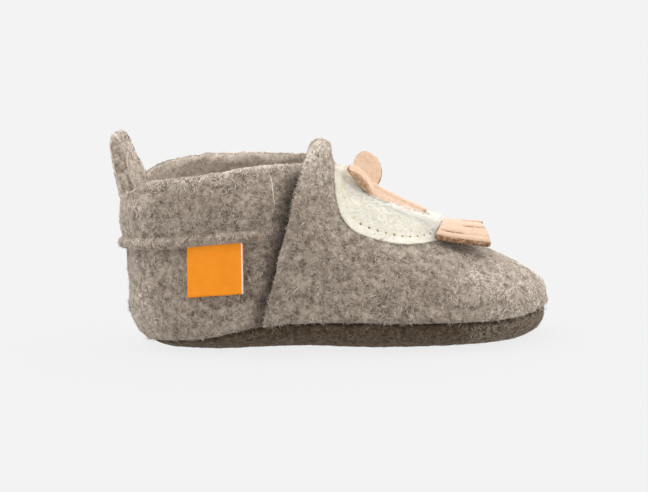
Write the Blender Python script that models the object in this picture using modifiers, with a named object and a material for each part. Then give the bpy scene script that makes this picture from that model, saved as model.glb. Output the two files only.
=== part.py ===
"""Felt crawling shoe for a baby, right foot, built round its last.

Every piece comes from one function, last_point, the surface of the last. The upper and the sole
grow outwards from it, the insole grows inwards, and what is sewn on lies on the upper's outside.
Frame: +X towards the toe, -Y the outer side of the foot, +Z up, the floor at Z = 0, in metres.
Tables and sizes below are in millimetres, with X counted from the heel end of the last.
"""

import bmesh
import bpy
import numpy as np

MM = 0.001
SHOE_NAME = "felt_crawling_shoe"

# Driving sizes
LAST_LENGTH = 126.8
HEEL_X = -61.5
CENTRE_Y = -1.37
FELT = 2.6
LAP_FELT = 2.0
LAP_FADE = 24.0
SOLE_FELT = 3.0
SOLE_RIM_SHARE = 0.72
INSOLE_FELT = 2.2
INSOLE_BACK = 7.0
INSOLE_FRONT = 121.5
INSOLE_EDGE_RISE = 1.3
CUFF_FELT = 1.3
HEM_FELT = 2.6
HEM_ROLL = 3.2
PATCH_FELT = 2.4
PATCH_GAP = 0.45
LEATHER = 2.0
LABEL_THICKNESS = 0.8
GAP = 0.3

# The last: one row for each section, heel to toe
LAST_COLUMNS = (
    "station", "half_width", "top", "widest", "bottom", "lean", "drift", "arch_power", "base_power",
)
LAST_ROWS = (
    (0.0, 0.0, 84.0, 14.5, 14.5, 0.00, 0.0, 2.5, 2.6),
    (1.2, 6.9, 83.0, 14.3, 8.4, 0.00, 0.0, 2.5, 2.6),
    (5.0, 13.6, 81.0, 13.9, 4.7, 0.01, 0.0, 2.5, 2.7),
    (14.0, 20.2, 77.0, 13.2, 2.88, 0.05, 0.0, 2.5, 3.0),
    (26.0, 23.0, 70.5, 12.8, 2.88, 0.13, 0.0, 2.5, 3.6),
    (40.7, 24.0, 62.2, 12.4, 3.4, 0.25, 0.0, 2.5, 4.0),
    (47.4, 24.5, 54.6, 12.3, 3.6, 0.24, 0.1, 2.4, 4.0),
    (53.4, 24.9, 48.7, 12.2, 3.6, 0.225, 0.2, 2.3, 4.0),
    (59.4, 25.5, 44.5, 12.1, 3.5, 0.20, 0.3, 2.2, 4.0),
    (67.4, 26.4, 40.9, 12.0, 3.2, 0.15, 0.6, 2.1, 4.0),
    (77.4, 27.2, 37.3, 12.0, 2.95, 0.10, 1.0, 2.0, 4.0),
    (87.4, 27.4, 34.0, 12.0, 2.88, 0.05, 1.5, 1.95, 4.0),
    (97.4, 26.6, 30.3, 12.0, 2.88, 0.02, 2.0, 1.95, 4.0),
    (107.4, 24.4, 26.4, 12.3, 2.92, 0.01, 2.5, 1.95, 3.9),
    (115.4, 20.6, 22.7, 12.5, 3.1, 0.00, 2.9, 2.0, 3.7),
    (121.4, 15.0, 19.3, 12.6, 3.9, 0.00, 3.1, 2.0, 3.5),
    (124.9, 9.4, 17.0, 12.7, 5.0, 0.00, 3.2, 2.0, 3.2),
    (126.8, 0.0, 14.8, 12.8, 7.0, 0.00, 3.2, 2.0, 3.0),
)
LEAN_BASE = 7.0

# Lines on the last: the sole seam, the collar's rim on each side and the cuff's hem
SEAM_ROWS = (
    (5.0, 4.7), (14.0, 5.5), (26.0, 6.6), (37.0, 8.7), (47.0, 9.9), (70.0, 9.9), (87.0, 9.4),
    (97.0, 9.3), (107.0, 9.1), (115.4, 9.2), (121.4, 9.7), (126.8, 10.3),
)
RIM_COLUMNS = ("station", "outer", "inner")
RIM_ROWS = (
    (0.0, 48.8, 48.8), (2.5, 49.6, 50.8), (6.0, 51.4, 53.6), (12.0, 53.0, 55.8), (22.0, 54.2, 57.0),
    (32.0, 55.6, 57.0), (40.7, 56.6, 56.8),
)
HEM_ROWS = ((0.0, 31.2), (12.0, 32.5), (22.0, 33.6), (32.0, 34.4), (40.7, 35.4))
LAP_STATION = 40.7
LAP_STEP = 0.5

# Pull tab at the heel: height above the floor, its back face and its front face
TAB_ROWS = (
    (41.0, 0.4, 2.5), (46.5, 0.4, 2.7), (50.1, 0.4, 2.7), (50.5, -5.0, 2.2), (53.5, -5.4, 0.6),
    (57.0, -5.8, -0.7), (61.0, -6.2, -1.7), (64.5, -6.4, -2.3), (66.2, -5.9, -3.0), (66.9, -4.9, -3.9),
)
TAB_WIDTH = 14.0
TAB_BOW_RADIUS = 14.0
TAB_EDGE_ROUND = 0.7

# Things sewn on the vamp, along its ridge and across it
PATCH_BACK = 63.0
PATCH_MIDDLE = 76.5
PATCH_FRONT = 98.0
PATCH_HALF_WIDTH = 18.5
PATCH_BACK_POWER = 3.2
PATCH_FRONT_POWER = 2.3
FACE_BACK = 71.5
FACE_FRONT = 90.0
FACE_HALF_WIDTH = 7.0
FACE_NOSE_SHARE = 0.72
FACE_NOSE_POWER = 8
EAR_LENGTH = 15.0
EAR_HALF_WIDTH = 4.6
EAR_CURL = 1.2
EAR_COLUMNS = ("name", "lift", "x", "side", "along", "across")
EAR_ROWS = (
    ("near", 0.7, 73.6, -4.4, (-0.70, -0.20, 0.68), (0.16, -0.98, 0.10)),
    ("far", 1.5, 75.0, 4.6, (-0.46, 0.16, 0.87), (0.86, -0.20, 0.47)),
)
FRINGE_BACK = 95.4
FRINGE_LENGTH = 13.0
FRINGE_ROOT = 3.5
FRINGE_HALF_WIDTH = 13.5
FRINGE_STRIPS = 4
FRINGE_SLIT = 0.5
FRINGE_LIFT = 1.3

# Label under the hem, on the outer side
LABEL_BACK = 19.5
LABEL_WIDTH = 15.9
LABEL_BELOW_HEM = 0.9
LABEL_HEIGHT = 14.8

# Facets: steps along the foot and up the wall
HEEL_STEPS, QUARTER_STEPS, VAMP_STEPS = 4, 9, 25
TOE_CROWDING = 1.3
LOWER_ROWS, WALL_ROWS, CREST_ROWS = 4, 8, 7
SOLE_ROWS, CUFF_ROWS, INSOLE_STEPS, INSOLE_ROWS = 6, 5, 20, 6

# Colours, linear, and roughness
FELT_COLOUR = (0.27, 0.225, 0.185)
SOLE_COLOUR = (0.075, 0.055, 0.038)
CREAM_COLOUR = (0.80, 0.76, 0.64)
LEATHER_COLOUR = (0.76, 0.49, 0.31)
LABEL_COLOUR = (0.90, 0.27, 0.02)


def turn_of(station):
    """The angle that a station has when the last's length is seen as a turn from heel to toe."""
    return np.arccos(np.clip(1 - 2 * np.asarray(station, float) / LAST_LENGTH, -1, 1))


def station_of(turn):
    return LAST_LENGTH * (1 - np.cos(turn)) / 2


def smooth_curve(stations, values):
    """A curve through the values, over the turn, that never swings past them."""
    knots, values = turn_of(stations), np.asarray(values, float)
    step = np.diff(knots)
    slope = np.diff(values) / step
    before, after = 2 * step[1:] + step[:-1], step[1:] + 2 * step[:-1]
    same_way = slope[:-1] * slope[1:] > 0
    safe = np.where(same_way, slope[:-1], 1), np.where(same_way, slope[1:], 1)
    middle = np.where(same_way, (before + after) / (before / safe[0] + after / safe[1]), 0)
    tangent = np.concatenate([slope[:1], middle, slope[-1:]])

    def curve(turn):
        at = np.clip(turn, knots[0], knots[-1])
        i = np.clip(np.searchsorted(knots, at) - 1, 0, len(step) - 1)
        t = (at - knots[i]) / step[i]
        start = values[i] * (1 + 2 * t) * (1 - t) ** 2 + values[i + 1] * t * t * (3 - 2 * t)
        return start + step[i] * t * (1 - t) * (tangent[i] * (1 - t) - tangent[i + 1] * t)

    return curve


def table_curves(columns, rows):
    """One curve for each named column of a table whose first column is the station."""
    data = np.array(rows, float).T
    return {name: smooth_curve(data[0], column) for name, column in zip(columns[1:], data[1:])}


LAST = table_curves(LAST_COLUMNS, LAST_ROWS)
SEAM = table_curves(("station", "height"), SEAM_ROWS)["height"]
RIM = table_curves(RIM_COLUMNS, RIM_ROWS)
HEM = table_curves(("station", "height"), HEM_ROWS)["height"]


def signed_power(value, power):
    return np.sign(value) * np.abs(value) ** power


def last_point(turn, rise):
    """A point on the last. The turn runs from the heel, 0, to the toe, positive on the outer side of
    the foot and negative on the inner. The rise is an angle: -90 degrees under the foot, 0 at the
    widest level and 90 on the ridge."""
    turn, rise = np.broadcast_arrays(np.asarray(turn, float), np.asarray(rise, float))
    part = {name: curve(np.abs(turn)) for name, curve in LAST.items()}
    above = rise > 0
    power = 2 / np.where(above, part["arch_power"], part["base_power"])
    reach = np.where(above, part["top"] - part["widest"], part["widest"] - part["bottom"])
    height = part["widest"] + reach * signed_power(np.sin(rise), power)
    across = part["half_width"] * signed_power(np.cos(rise), power)
    along = station_of(np.abs(turn)) + part["lean"] * (height - LEAN_BASE)
    return np.stack([along, part["drift"] - np.sign(turn) * across, height], -1)


def outward(turn, rise):
    """The last's unit normal, pointing out of the foot."""
    small = 1e-3
    turn, rise = np.broadcast_arrays(np.asarray(turn, float), np.asarray(rise, float))
    ahead, behind = np.minimum(turn + small, np.pi), np.maximum(turn - small, -np.pi)
    along = last_point(ahead, rise) - last_point(behind, rise)
    up = last_point(turn, rise + small) - last_point(turn, rise - small)
    normal = np.cross(along, up)
    return normal / np.linalg.norm(normal, axis=-1, keepdims=True)


def offset_point(turn, rise, distance):
    return last_point(turn, rise) + outward(turn, rise) * np.asarray(distance)[..., None]


def rise_at_height(turn, height):
    """The rise at which the last's wall reaches a height."""
    part = {name: curve(np.abs(turn)) for name, curve in LAST.items()}
    above = np.clip((height - part["widest"]) / (part["top"] - part["widest"]), 0, 1)
    below = np.clip((part["widest"] - height) / np.maximum(part["widest"] - part["bottom"], 1e-6), 0, 1)
    return np.arcsin(above ** (part["arch_power"] / 2)) - np.arcsin(below ** (part["base_power"] / 2))


def rise_at_side(turn, side):
    """The rise over the arch at a distance from the ridge, and the turn with that side's sign."""
    share = np.clip(np.abs(side) / LAST["half_width"](turn), 0, 1)
    return np.arccos(share ** (LAST["arch_power"](turn) / 2)), np.where(side > 0, -turn, turn)


def vamp_thickness(turn):
    """The upper's wall ahead of the lap: two felts at the vamp's edge, one further on."""
    ahead = (station_of(np.abs(turn)) - LAP_STATION) / LAP_FADE
    fade = np.clip(1 - ahead, 0, 1)
    return FELT + LAP_FELT * fade * fade * (3 - 2 * fade)


def ridge_turn(x):
    """The turn at which the upper's outer ridge passes a distance from the heel."""
    turns = np.linspace(turn_of(LAP_STATION), 0.98 * np.pi, 200)
    ridge = offset_point(turns, np.full_like(turns, np.pi / 2), vamp_thickness(turns))
    return np.interp(x, ridge[:, 0], turns)


def on_vamp(x, side, lift):
    """A point over the vamp: where its ridge is at x, that far to a side, that high off its felt."""
    turn = ridge_turn(np.asarray(x, float))
    rise, signed = rise_at_side(turn, np.asarray(side, float))
    return offset_point(signed, rise, vamp_thickness(turn) + lift)


def stations_along():
    """The turns of the upper's sections: heel, quarter, the lap's step and vamp."""
    marks = turn_of([0, SEAM_ROWS[0][0], LAP_STATION, LAP_STATION + LAP_STEP, LAST_LENGTH])
    heel = np.linspace(marks[0], marks[1], HEEL_STEPS + 1)
    ease = (1 - np.cos(np.linspace(0, np.pi / 2, QUARTER_STEPS + 1)))
    quarter = marks[1] + (marks[2] - marks[1]) * ease
    crowd = 1 - np.linspace(1, 0, VAMP_STEPS + 1) ** TOE_CROWDING
    vamp = marks[3] + (marks[4] - marks[3]) * crowd
    return np.concatenate([heel, quarter[1:], vamp])


def seam_rise(turn, above):
    """The rise of the sole seam, a little above or below it, or under the heel behind its start."""
    rise = rise_at_height(turn, SEAM(turn) + above)
    return np.where(turn <= turn_of(SEAM_ROWS[0][0]) + 1e-6, -np.pi / 2, rise)


def rim_rise(turn):
    height = np.where(turn < 0, RIM["inner"](np.abs(turn)), RIM["outer"](np.abs(turn)))
    return rise_at_height(turn, height)


def crest_rise(turn):
    """The rise that carries the rim's row on over the vamp, alike on both sides at the toe."""
    lap = turn_of(LAP_STATION)
    fade = np.cos(np.pi / 2 * np.clip((np.abs(turn) - lap) / (np.pi - lap), 0, 1))
    return rim_rise(lap) + (rim_rise(np.sign(turn) * lap) - rim_rise(lap)) * fade


def steps_between(low, high, count):
    return low + (high - low) * np.linspace(0, 1, count + 1)


def both_sides(turns):
    return np.concatenate([-turns[::-1], turns[1:]]) if turns[0] == 0 else np.concatenate([-turns[::-1], turns])


def finish_mesh(name, bm, colour, roughness):
    """Makes the object, smooth, with its material, in the shoe's collection under its empty."""
    bmesh.ops.recalc_face_normals(bm, faces=bm.faces)
    mesh = bpy.data.meshes.new(name)
    bm.to_mesh(mesh)
    bm.free()
    mesh.shade_smooth()
    piece = bpy.data.objects.new(name, mesh)
    material = bpy.data.materials.new(name)
    material.use_nodes = True
    shader = material.node_tree.nodes["Principled BSDF"]
    shader.inputs["Base Color"].default_value = (*colour, 1)
    shader.inputs["Roughness"].default_value = roughness
    mesh.materials.append(material)
    bpy.data.collections[SHOE_NAME].objects.link(piece)
    piece.parent = bpy.data.objects[SHOE_NAME]
    return piece


def sheet(columns):
    """An open surface through columns of points. Columns may have unlike lengths: rows are joined as
    far as both reach. Points that coincide become one."""
    bm = bmesh.new()
    made = [[bm.verts.new(point * MM) for point in column] for column in columns]
    for left, right in zip(made, made[1:]):
        for low in range(min(len(left), len(right)) - 1):
            bm.faces.new((left[low], right[low], right[low + 1], left[low + 1]))
    bmesh.ops.remove_doubles(bm, verts=bm.verts, dist=0.02 * MM)
    bmesh.ops.dissolve_degenerate(bm, edges=bm.edges, dist=0.001 * MM)
    return bm


def solidify(piece, thickness, weights=None):
    """Gives an open surface its thickness, along its normals. Weights scale it point by point."""
    modifier = piece.modifiers.new("thickness", "SOLIDIFY")
    modifier.thickness = thickness * MM
    modifier.offset = 1
    if weights is not None:
        group = piece.vertex_groups.new(name="thickness")
        for vertex, weight in zip(piece.data.vertices, weights):
            group.add([vertex.index], float(weight), "REPLACE")
        modifier.vertex_group = group.name


def points_of(piece):
    return np.array([vertex.co for vertex in piece.data.vertices]) / MM


def face_outwards(piece):
    """Turns the open surface's faces away from the foot's middle, so that it thickens outwards."""
    middle = np.array([LAST_LENGTH / 2, 0.0, LEAN_BASE])
    faces = piece.data.polygons
    away = sum(np.dot(np.array(f.center) / MM - middle, f.normal) * f.area for f in faces)
    if away < 0:
        piece.data.flip_normals()


def make_upper():
    """Quarter and vamp as one wall. The vamp's edge laps over the quarter and stands proud of it."""
    columns = []
    lap = turn_of(LAP_STATION)
    for turn in both_sides(stations_along()):
        size = abs(turn)
        crest = crest_rise(turn) if size > lap else rim_rise(turn)
        rises = [steps_between(seam_rise(size, GAP / 2), 0, LOWER_ROWS)]
        rises.append(steps_between(0, crest, WALL_ROWS)[1:])
        if size > lap + 1e-6:
            rises.append(steps_between(crest, np.pi / 2, CREST_ROWS)[1:])
        columns.append(last_point(turn, np.concatenate(rises)))
    piece = finish_mesh("upper", sheet(columns), FELT_COLOUR, 0.95)
    face_outwards(piece)
    lapped = FELT + LAP_FELT
    edge = LAP_STATION + LAP_STEP / 2
    turns = [upper_turn(point) for point in points_of(piece)]
    weights = [(vamp_thickness(t) if station_of(t) > edge else FELT) / lapped for t in turns]
    solidify(piece, lapped, weights)


def upper_turn(point):
    """The turn of a point on the last, found from its leaning section."""
    turn = turn_of(np.clip(point[0], 0, LAST_LENGTH))
    for _ in range(40):
        turn = turn_of(np.clip(point[0] - LAST["lean"](turn) * (point[2] - LEAN_BASE), 0, LAST_LENGTH))
    return float(turn)


def make_sole():
    """A soft sole whose rim turns up to the seam, cut flat where heel and forefoot stand."""
    start = turn_of(SEAM_ROWS[0][0])
    turns = [turn for turn in stations_along() if turn > start + 0.01]
    first = turns[0] - 0.6 * (turns[0] - start)
    columns = []
    for turn in (first, *turns):
        low = seam_rise(turn, -GAP / 2) if turn > first else -np.pi / 2
        rises = steps_between(low, -np.pi / 2, SOLE_ROWS)
        near, far = last_point(turn, rises), last_point(-turn, rises)
        columns.append(np.concatenate([near, far[-2::-1]]))
    piece = finish_mesh("sole", sheet(columns), SOLE_COLOUR, 0.95)
    face_down(piece)
    heights = points_of(piece)[:, 2]
    share = np.clip((heights - LAST_ROWS[3][4]) / SOLE_FELT, 0, 1)
    solidify(piece, SOLE_FELT, 1 - (1 - SOLE_RIM_SHARE) * share)
    floor = bpy.data.meshes.new("floor_cutter")
    bm = bmesh.new()
    bmesh.ops.create_cube(bm, size=2 * LAST_LENGTH * MM)
    bm.to_mesh(floor)
    bm.free()
    cutter = bpy.data.objects.new("floor_cutter", floor)
    cutter.location = (LAST_LENGTH / 2 * MM, 0, -LAST_LENGTH * MM)
    cutter.hide_render = True
    cutter.display_type = "WIRE"
    cutter.parent = piece.parent
    bpy.data.collections["cutters"].objects.link(cutter)
    cut = piece.modifiers.new("flat_spots", "BOOLEAN")
    cut.operation = "DIFFERENCE"
    cut.object = cutter


def face_down(piece):
    if sum(face.normal.z * face.area for face in piece.data.polygons) > 0:
        piece.data.flip_normals()


def make_insole():
    """A felt insole lying on the sole, inside the last."""
    columns = []
    for turn in np.linspace(turn_of(INSOLE_BACK), turn_of(INSOLE_FRONT), INSOLE_STEPS + 1):
        low = rise_at_height(turn, LAST["bottom"](turn) + INSOLE_EDGE_RISE)
        rises = steps_between(low, -np.pi / 2, INSOLE_ROWS // 2)
        near = offset_point(turn, rises, np.full(len(rises), -GAP))
        far = offset_point(-turn, rises, np.full(len(rises), -GAP))
        columns.append(np.concatenate([near, far[-2::-1]]))
    piece = finish_mesh("insole", sheet(columns), FELT_COLOUR, 0.95)
    face_down(piece)
    piece.data.flip_normals()
    solidify(piece, INSOLE_FELT)


def make_cuff():
    """The collar's folded hem, a second felt round the heel from one lap edge to the other."""
    turns = stations_along()
    turns = turns[turns < turn_of(LAP_STATION) - 1e-6]
    turns = np.append(turns, turn_of(LAP_STATION - 2 * GAP))
    columns = []
    for turn in both_sides(turns):
        roll = rise_at_height(turn, HEM(abs(turn)) + np.array([0, 0.5, 1]) * HEM_ROLL)
        rises = np.concatenate([roll, steps_between(roll[-1], rim_rise(turn), CUFF_ROWS)[1:]])
        columns.append(offset_point(turn, rises, np.full(len(rises), FELT + GAP)))
    rows = len(columns[0])
    piece = finish_mesh("collar_cuff", sheet(columns), FELT_COLOUR, 0.95)
    face_outwards(piece)
    row = np.arange(len(piece.data.vertices)) % rows
    solidify(piece, HEM_FELT, np.select([row == 0, row == 1], [0.8, 1.0], CUFF_FELT / HEM_FELT))


def make_pull_tab():
    """A folded felt tab on the rim at the heel, with its inner end sewn inside the collar."""
    rows = np.array(TAB_ROWS)
    profile = np.concatenate([rows[:, [1, 0]], rows[::-1][:, [2, 0]]])
    bm = bmesh.new()
    rings = []
    for side in np.linspace(-TAB_WIDTH / 2, TAB_WIDTH / 2, 5):
        bow = side ** 2 / (2 * TAB_BOW_RADIUS)
        rings.append([bm.verts.new(np.array([x + bow, side, z]) * MM) for x, z in profile])
    for left, right in zip(rings, rings[1:]):
        for i in range(len(profile)):
            j = (i + 1) % len(profile)
            bm.faces.new((left[i], left[j], right[j], right[i]))
    bm.faces.new(rings[0])
    bm.faces.new(rings[-1])
    piece = finish_mesh("pull_tab", bm, FELT_COLOUR, 0.95)
    bevel = piece.modifiers.new("edges", "BEVEL")
    bevel.width = TAB_EDGE_ROUND * MM
    bevel.limit_method = "ANGLE"
    bevel.segments = 2


def patch_edge(angle):
    """The patch's outline, along the ridge and across it, at an angle about its middle."""
    ahead = np.cos(angle) > 0
    power = 2 / np.where(ahead, PATCH_FRONT_POWER, PATCH_BACK_POWER)
    length = np.where(ahead, PATCH_FRONT - PATCH_MIDDLE, PATCH_MIDDLE - PATCH_BACK)
    x = PATCH_MIDDLE + length * signed_power(np.cos(angle), power)
    return x, PATCH_HALF_WIDTH * signed_power(np.sin(angle), power)


def make_patch():
    """An oval felt patch sewn on the vamp."""
    angles = np.linspace(0, 2 * np.pi, 33)
    edge_x, edge_side = patch_edge(angles)
    columns = []
    for share in np.linspace(0, 1, 6):
        x = PATCH_MIDDLE + (edge_x - PATCH_MIDDLE) * share
        columns.append(on_vamp(x, edge_side * share, np.full(len(x), PATCH_GAP)))
    piece = finish_mesh("patch", sheet(columns), CREAM_COLOUR, 0.95)
    face_outwards(piece)
    solidify(piece, PATCH_FELT)


def make_face():
    """A leather face over the patch, tapering to its nose, with two ears cut in one with it."""
    columns = []
    for share in np.linspace(0, 1, 9):
        x = FACE_BACK + (FACE_FRONT - FACE_BACK) * share
        narrow = 1 + (FACE_NOSE_SHARE - 1) * share
        half = FACE_HALF_WIDTH * narrow * (1 - 0.9 * share ** FACE_NOSE_POWER) ** 0.5
        sides = half * np.linspace(-1, 1, 7)
        lift = np.full(len(sides), PATCH_GAP + PATCH_FELT + GAP)
        columns.append(on_vamp(np.full(len(sides), x), sides, lift))
    piece = finish_mesh("leather_face", sheet(columns), LEATHER_COLOUR, 0.7)
    face_outwards(piece)
    solidify(piece, LEATHER)
    for row in EAR_ROWS:
        ear_row = dict(zip(EAR_COLUMNS, row))
        lift = PATCH_GAP + PATCH_FELT + GAP + ear_row["lift"]
        root = on_vamp([ear_row["x"]], [ear_row["side"]], np.array([lift]))[0]
        ear = make_ear(ear_row["name"], root, np.array(ear_row["along"]), np.array(ear_row["across"]))
        join = piece.modifiers.new(ear.name, "BOOLEAN")
        join.operation = "UNION"
        join.object = ear


def make_ear(name, root, along, across):
    """A rounded ear that leaves the face at its root, curling a little along its length."""
    columns = []
    bend = np.cross(along, across)
    for share in np.linspace(0, 1, 9):
        half = EAR_HALF_WIDTH * np.abs(np.sin(np.pi * (0.12 + 0.88 * share))) ** 0.8
        middle = root + along * EAR_LENGTH * share + bend * EAR_CURL * share ** 2
        columns.append(middle + np.outer(half * np.linspace(-1, 1, 7), across))
    ear = finish_mesh(f"ear_{name}", sheet(columns), LEATHER_COLOUR, 0.7)
    if sum(np.dot(face.normal, bend) * face.area for face in ear.data.polygons) < 0:
        ear.data.flip_normals()
    solidify(ear, LEATHER)
    bpy.data.collections[SHOE_NAME].objects.unlink(ear)
    bpy.data.collections["cutters"].objects.link(ear)
    ear.hide_render = True
    ear.display_type = "WIRE"
    return ear


def make_fringe():
    """A leather fringe ahead of the patch: strips joined at their root, lifting off the vamp."""
    pitch = 2 * FRINGE_HALF_WIDTH / FRINGE_STRIPS
    edges = []
    for strip in range(FRINGE_STRIPS):
        start = -FRINGE_HALF_WIDTH + strip * pitch
        edges += [start + FRINGE_SLIT / 2, start + pitch / 2, start + pitch - FRINGE_SLIT / 2]
    edges = np.array(edges)
    ahead = np.concatenate([[0, FRINGE_ROOT], np.linspace(FRINGE_ROOT, FRINGE_LENGTH, 6)[1:]])
    bm = bmesh.new()
    grid = []
    for distance in ahead:
        lift = PATCH_GAP + PATCH_FELT + GAP + FRINGE_LIFT * (distance / FRINGE_LENGTH) ** 1.5
        points = on_vamp(np.full(len(edges), FRINGE_BACK + distance), edges, np.full(len(edges), lift))
        grid.append([bm.verts.new(point * MM) for point in points])
    for row, (back, front) in enumerate(zip(grid, grid[1:])):
        for i in range(len(edges) - 1):
            if row == 0 or i % 3 != 2:
                bm.faces.new((back[i], front[i], front[i + 1], back[i + 1]))
    piece = finish_mesh("leather_fringe", bm, LEATHER_COLOUR, 0.7)
    face_outwards(piece)
    solidify(piece, LEATHER)


def make_label():
    """A folded ribbon label hanging from the hem on the outer side."""
    columns = []
    for x in np.linspace(LABEL_BACK, LABEL_BACK + LABEL_WIDTH, 7):
        top = HEM(wall_turn(x, HEM_ROWS[-1][1])) - LABEL_BELOW_HEM
        heights = top - LABEL_HEIGHT * np.linspace(1, 0, 5)
        turns = np.array([wall_turn(x, z) for z in heights])
        rises = rise_at_height(turns, heights)
        columns.append(offset_point(turns, rises, np.full(5, FELT + GAP)))
    piece = finish_mesh("label", sheet(columns), LABEL_COLOUR, 0.6)
    face_outwards(piece)
    solidify(piece, LABEL_THICKNESS)


def wall_turn(x, height):
    """The turn of the quarter's wall at a distance from the heel and a height."""
    return upper_turn((x, 0, height))


def main():
    for old in list(bpy.data.objects):
        bpy.data.objects.remove(old)
    for name in (SHOE_NAME, "cutters"):
        bpy.context.scene.collection.children.link(bpy.data.collections.new(name))
    root = bpy.data.objects.new(SHOE_NAME, None)
    root.location = (HEEL_X * MM, CENTRE_Y * MM, 0)
    bpy.data.collections[SHOE_NAME].objects.link(root)
    make_upper()
    make_sole()
    make_insole()
    make_cuff()
    make_pull_tab()
    make_patch()
    make_face()
    make_fringe()
    make_label()


main()
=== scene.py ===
import bmesh
import bpy
import numpy as np
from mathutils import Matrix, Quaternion, Vector
from mathutils.kdtree import KDTree


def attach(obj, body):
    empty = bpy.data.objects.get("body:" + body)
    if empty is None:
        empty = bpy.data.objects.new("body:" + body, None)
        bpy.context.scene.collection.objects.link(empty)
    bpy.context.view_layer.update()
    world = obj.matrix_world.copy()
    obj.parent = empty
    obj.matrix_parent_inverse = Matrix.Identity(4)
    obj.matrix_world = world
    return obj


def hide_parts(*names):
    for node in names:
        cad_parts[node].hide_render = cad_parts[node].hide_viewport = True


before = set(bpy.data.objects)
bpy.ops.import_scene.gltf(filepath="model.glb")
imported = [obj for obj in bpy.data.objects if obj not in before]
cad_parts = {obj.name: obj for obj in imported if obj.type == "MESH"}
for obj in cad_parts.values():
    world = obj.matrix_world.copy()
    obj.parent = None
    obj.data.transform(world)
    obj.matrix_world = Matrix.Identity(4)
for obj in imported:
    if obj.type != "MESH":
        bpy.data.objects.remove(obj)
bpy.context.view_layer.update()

# Felt crawling shoe for a baby, right foot: what its felt, leather and ribbon look like.
# Sizes are in millimetres, with X counted from the heel end of the last, as in the CAD.
# Signed turns run round the foot from the heel, positive on the outer side, negative on the inner.
MM = 0.001
BODY = "root"
PHOTO_SIZE = (648, 492)

# The last and what is worn on it
LAST_LENGTH = 126.8
HEEL_X = -61.5
CENTRE_Y = -1.37
FELT = 2.6
LAP_FELT = 2.0
LAP_FADE = 24.0
LAP_STATION = 40.7
SOLE_FELT = 3.0
SOLE_RIM_SHARE = 0.72
INSOLE_FELT = 2.2
INSOLE_BACK, INSOLE_FRONT = 7.0, 121.5
INSOLE_EDGE_RISE = 1.3
GAP = 0.3
LEAN_BASE = 7.0
RIDGE_END, RIDGE_SAMPLES = 0.98 * np.pi, 200
WALL_TRIES = 40
LAST_COLUMNS = (
    "station", "half_width", "top", "widest", "bottom", "lean", "drift", "arch_power", "base_power",
)
LAST_ROWS = (
    (0.0, 0.0, 84.0, 14.5, 14.5, 0.00, 0.0, 2.5, 2.6),
    (1.2, 6.9, 83.0, 14.3, 8.4, 0.00, 0.0, 2.5, 2.6),
    (5.0, 13.6, 81.0, 13.9, 4.7, 0.01, 0.0, 2.5, 2.7),
    (14.0, 20.2, 77.0, 13.2, 2.88, 0.05, 0.0, 2.5, 3.0),
    (26.0, 23.0, 70.5, 12.8, 2.88, 0.13, 0.0, 2.5, 3.6),
    (40.7, 24.0, 62.2, 12.4, 3.4, 0.25, 0.0, 2.5, 4.0),
    (47.4, 24.5, 54.6, 12.3, 3.6, 0.24, 0.1, 2.4, 4.0),
    (53.4, 24.9, 48.7, 12.2, 3.6, 0.225, 0.2, 2.3, 4.0),
    (59.4, 25.5, 44.5, 12.1, 3.5, 0.20, 0.3, 2.2, 4.0),
    (67.4, 26.4, 40.9, 12.0, 3.2, 0.15, 0.6, 2.1, 4.0),
    (77.4, 27.2, 37.3, 12.0, 2.95, 0.10, 1.0, 2.0, 4.0),
    (87.4, 27.4, 34.0, 12.0, 2.88, 0.05, 1.5, 1.95, 4.0),
    (97.4, 26.6, 30.3, 12.0, 2.88, 0.02, 2.0, 1.95, 4.0),
    (107.4, 24.4, 26.4, 12.3, 2.92, 0.01, 2.5, 1.95, 3.9),
    (115.4, 20.6, 22.7, 12.5, 3.1, 0.00, 2.9, 2.0, 3.7),
    (121.4, 15.0, 19.3, 12.6, 3.9, 0.00, 3.1, 2.0, 3.5),
    (124.9, 9.4, 17.0, 12.7, 5.0, 0.00, 3.2, 2.0, 3.2),
    (126.8, 0.0, 14.8, 12.8, 7.0, 0.00, 3.2, 2.0, 3.0),
)
SEAM_ROWS = (
    (5.0, 4.7), (14.0, 5.5), (26.0, 6.6), (37.0, 8.7), (47.0, 9.9), (70.0, 9.9), (87.0, 9.4),
    (97.0, 9.3), (107.0, 9.1), (115.4, 9.2), (121.4, 9.7), (126.8, 10.3),
)
RIM_COLUMNS = ("station", "outer", "inner")
RIM_ROWS = (
    (0.0, 48.8, 48.8), (2.5, 49.6, 52.0), (6.0, 51.4, 54.8), (12.0, 53.0, 56.7), (22.0, 54.2, 57.7),
    (32.0, 55.6, 57.8), (40.7, 56.6, 57.6),
)
HEM_ROWS = ((0.0, 31.2), (12.0, 32.5), (22.0, 33.6), (32.0, 34.4), (40.7, 35.4))

# Pull tab: height above the floor, its back and front faces, and how far its sides bow and twist forward
TAB_COLUMNS = ("height", "back", "front", "bow", "twist")
TAB_ROWS = (
    (43.5, -3.4, 1.4, 3.2, 0.8), (47.0, -4.4, 1.0, 3.1, 1.0), (51.0, -5.0, -0.3, 2.8, 1.4),
    (54.0, -5.3, -0.8, 2.2, 1.6), (57.0, -5.7, -1.3, 1.7, 1.4), (61.0, -6.1, -2.0, 1.2, 1.0),
    (63.8, -6.2, -2.6, 0.9, 0.7), (65.4, -5.9, -3.0, 0.9, 0.6), (66.4, -5.4, -3.5, 0.9, 0.6),
    (66.9, -4.7, -4.2, 0.9, 0.6),
)
TAB_WIDTH = 14.0

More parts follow.
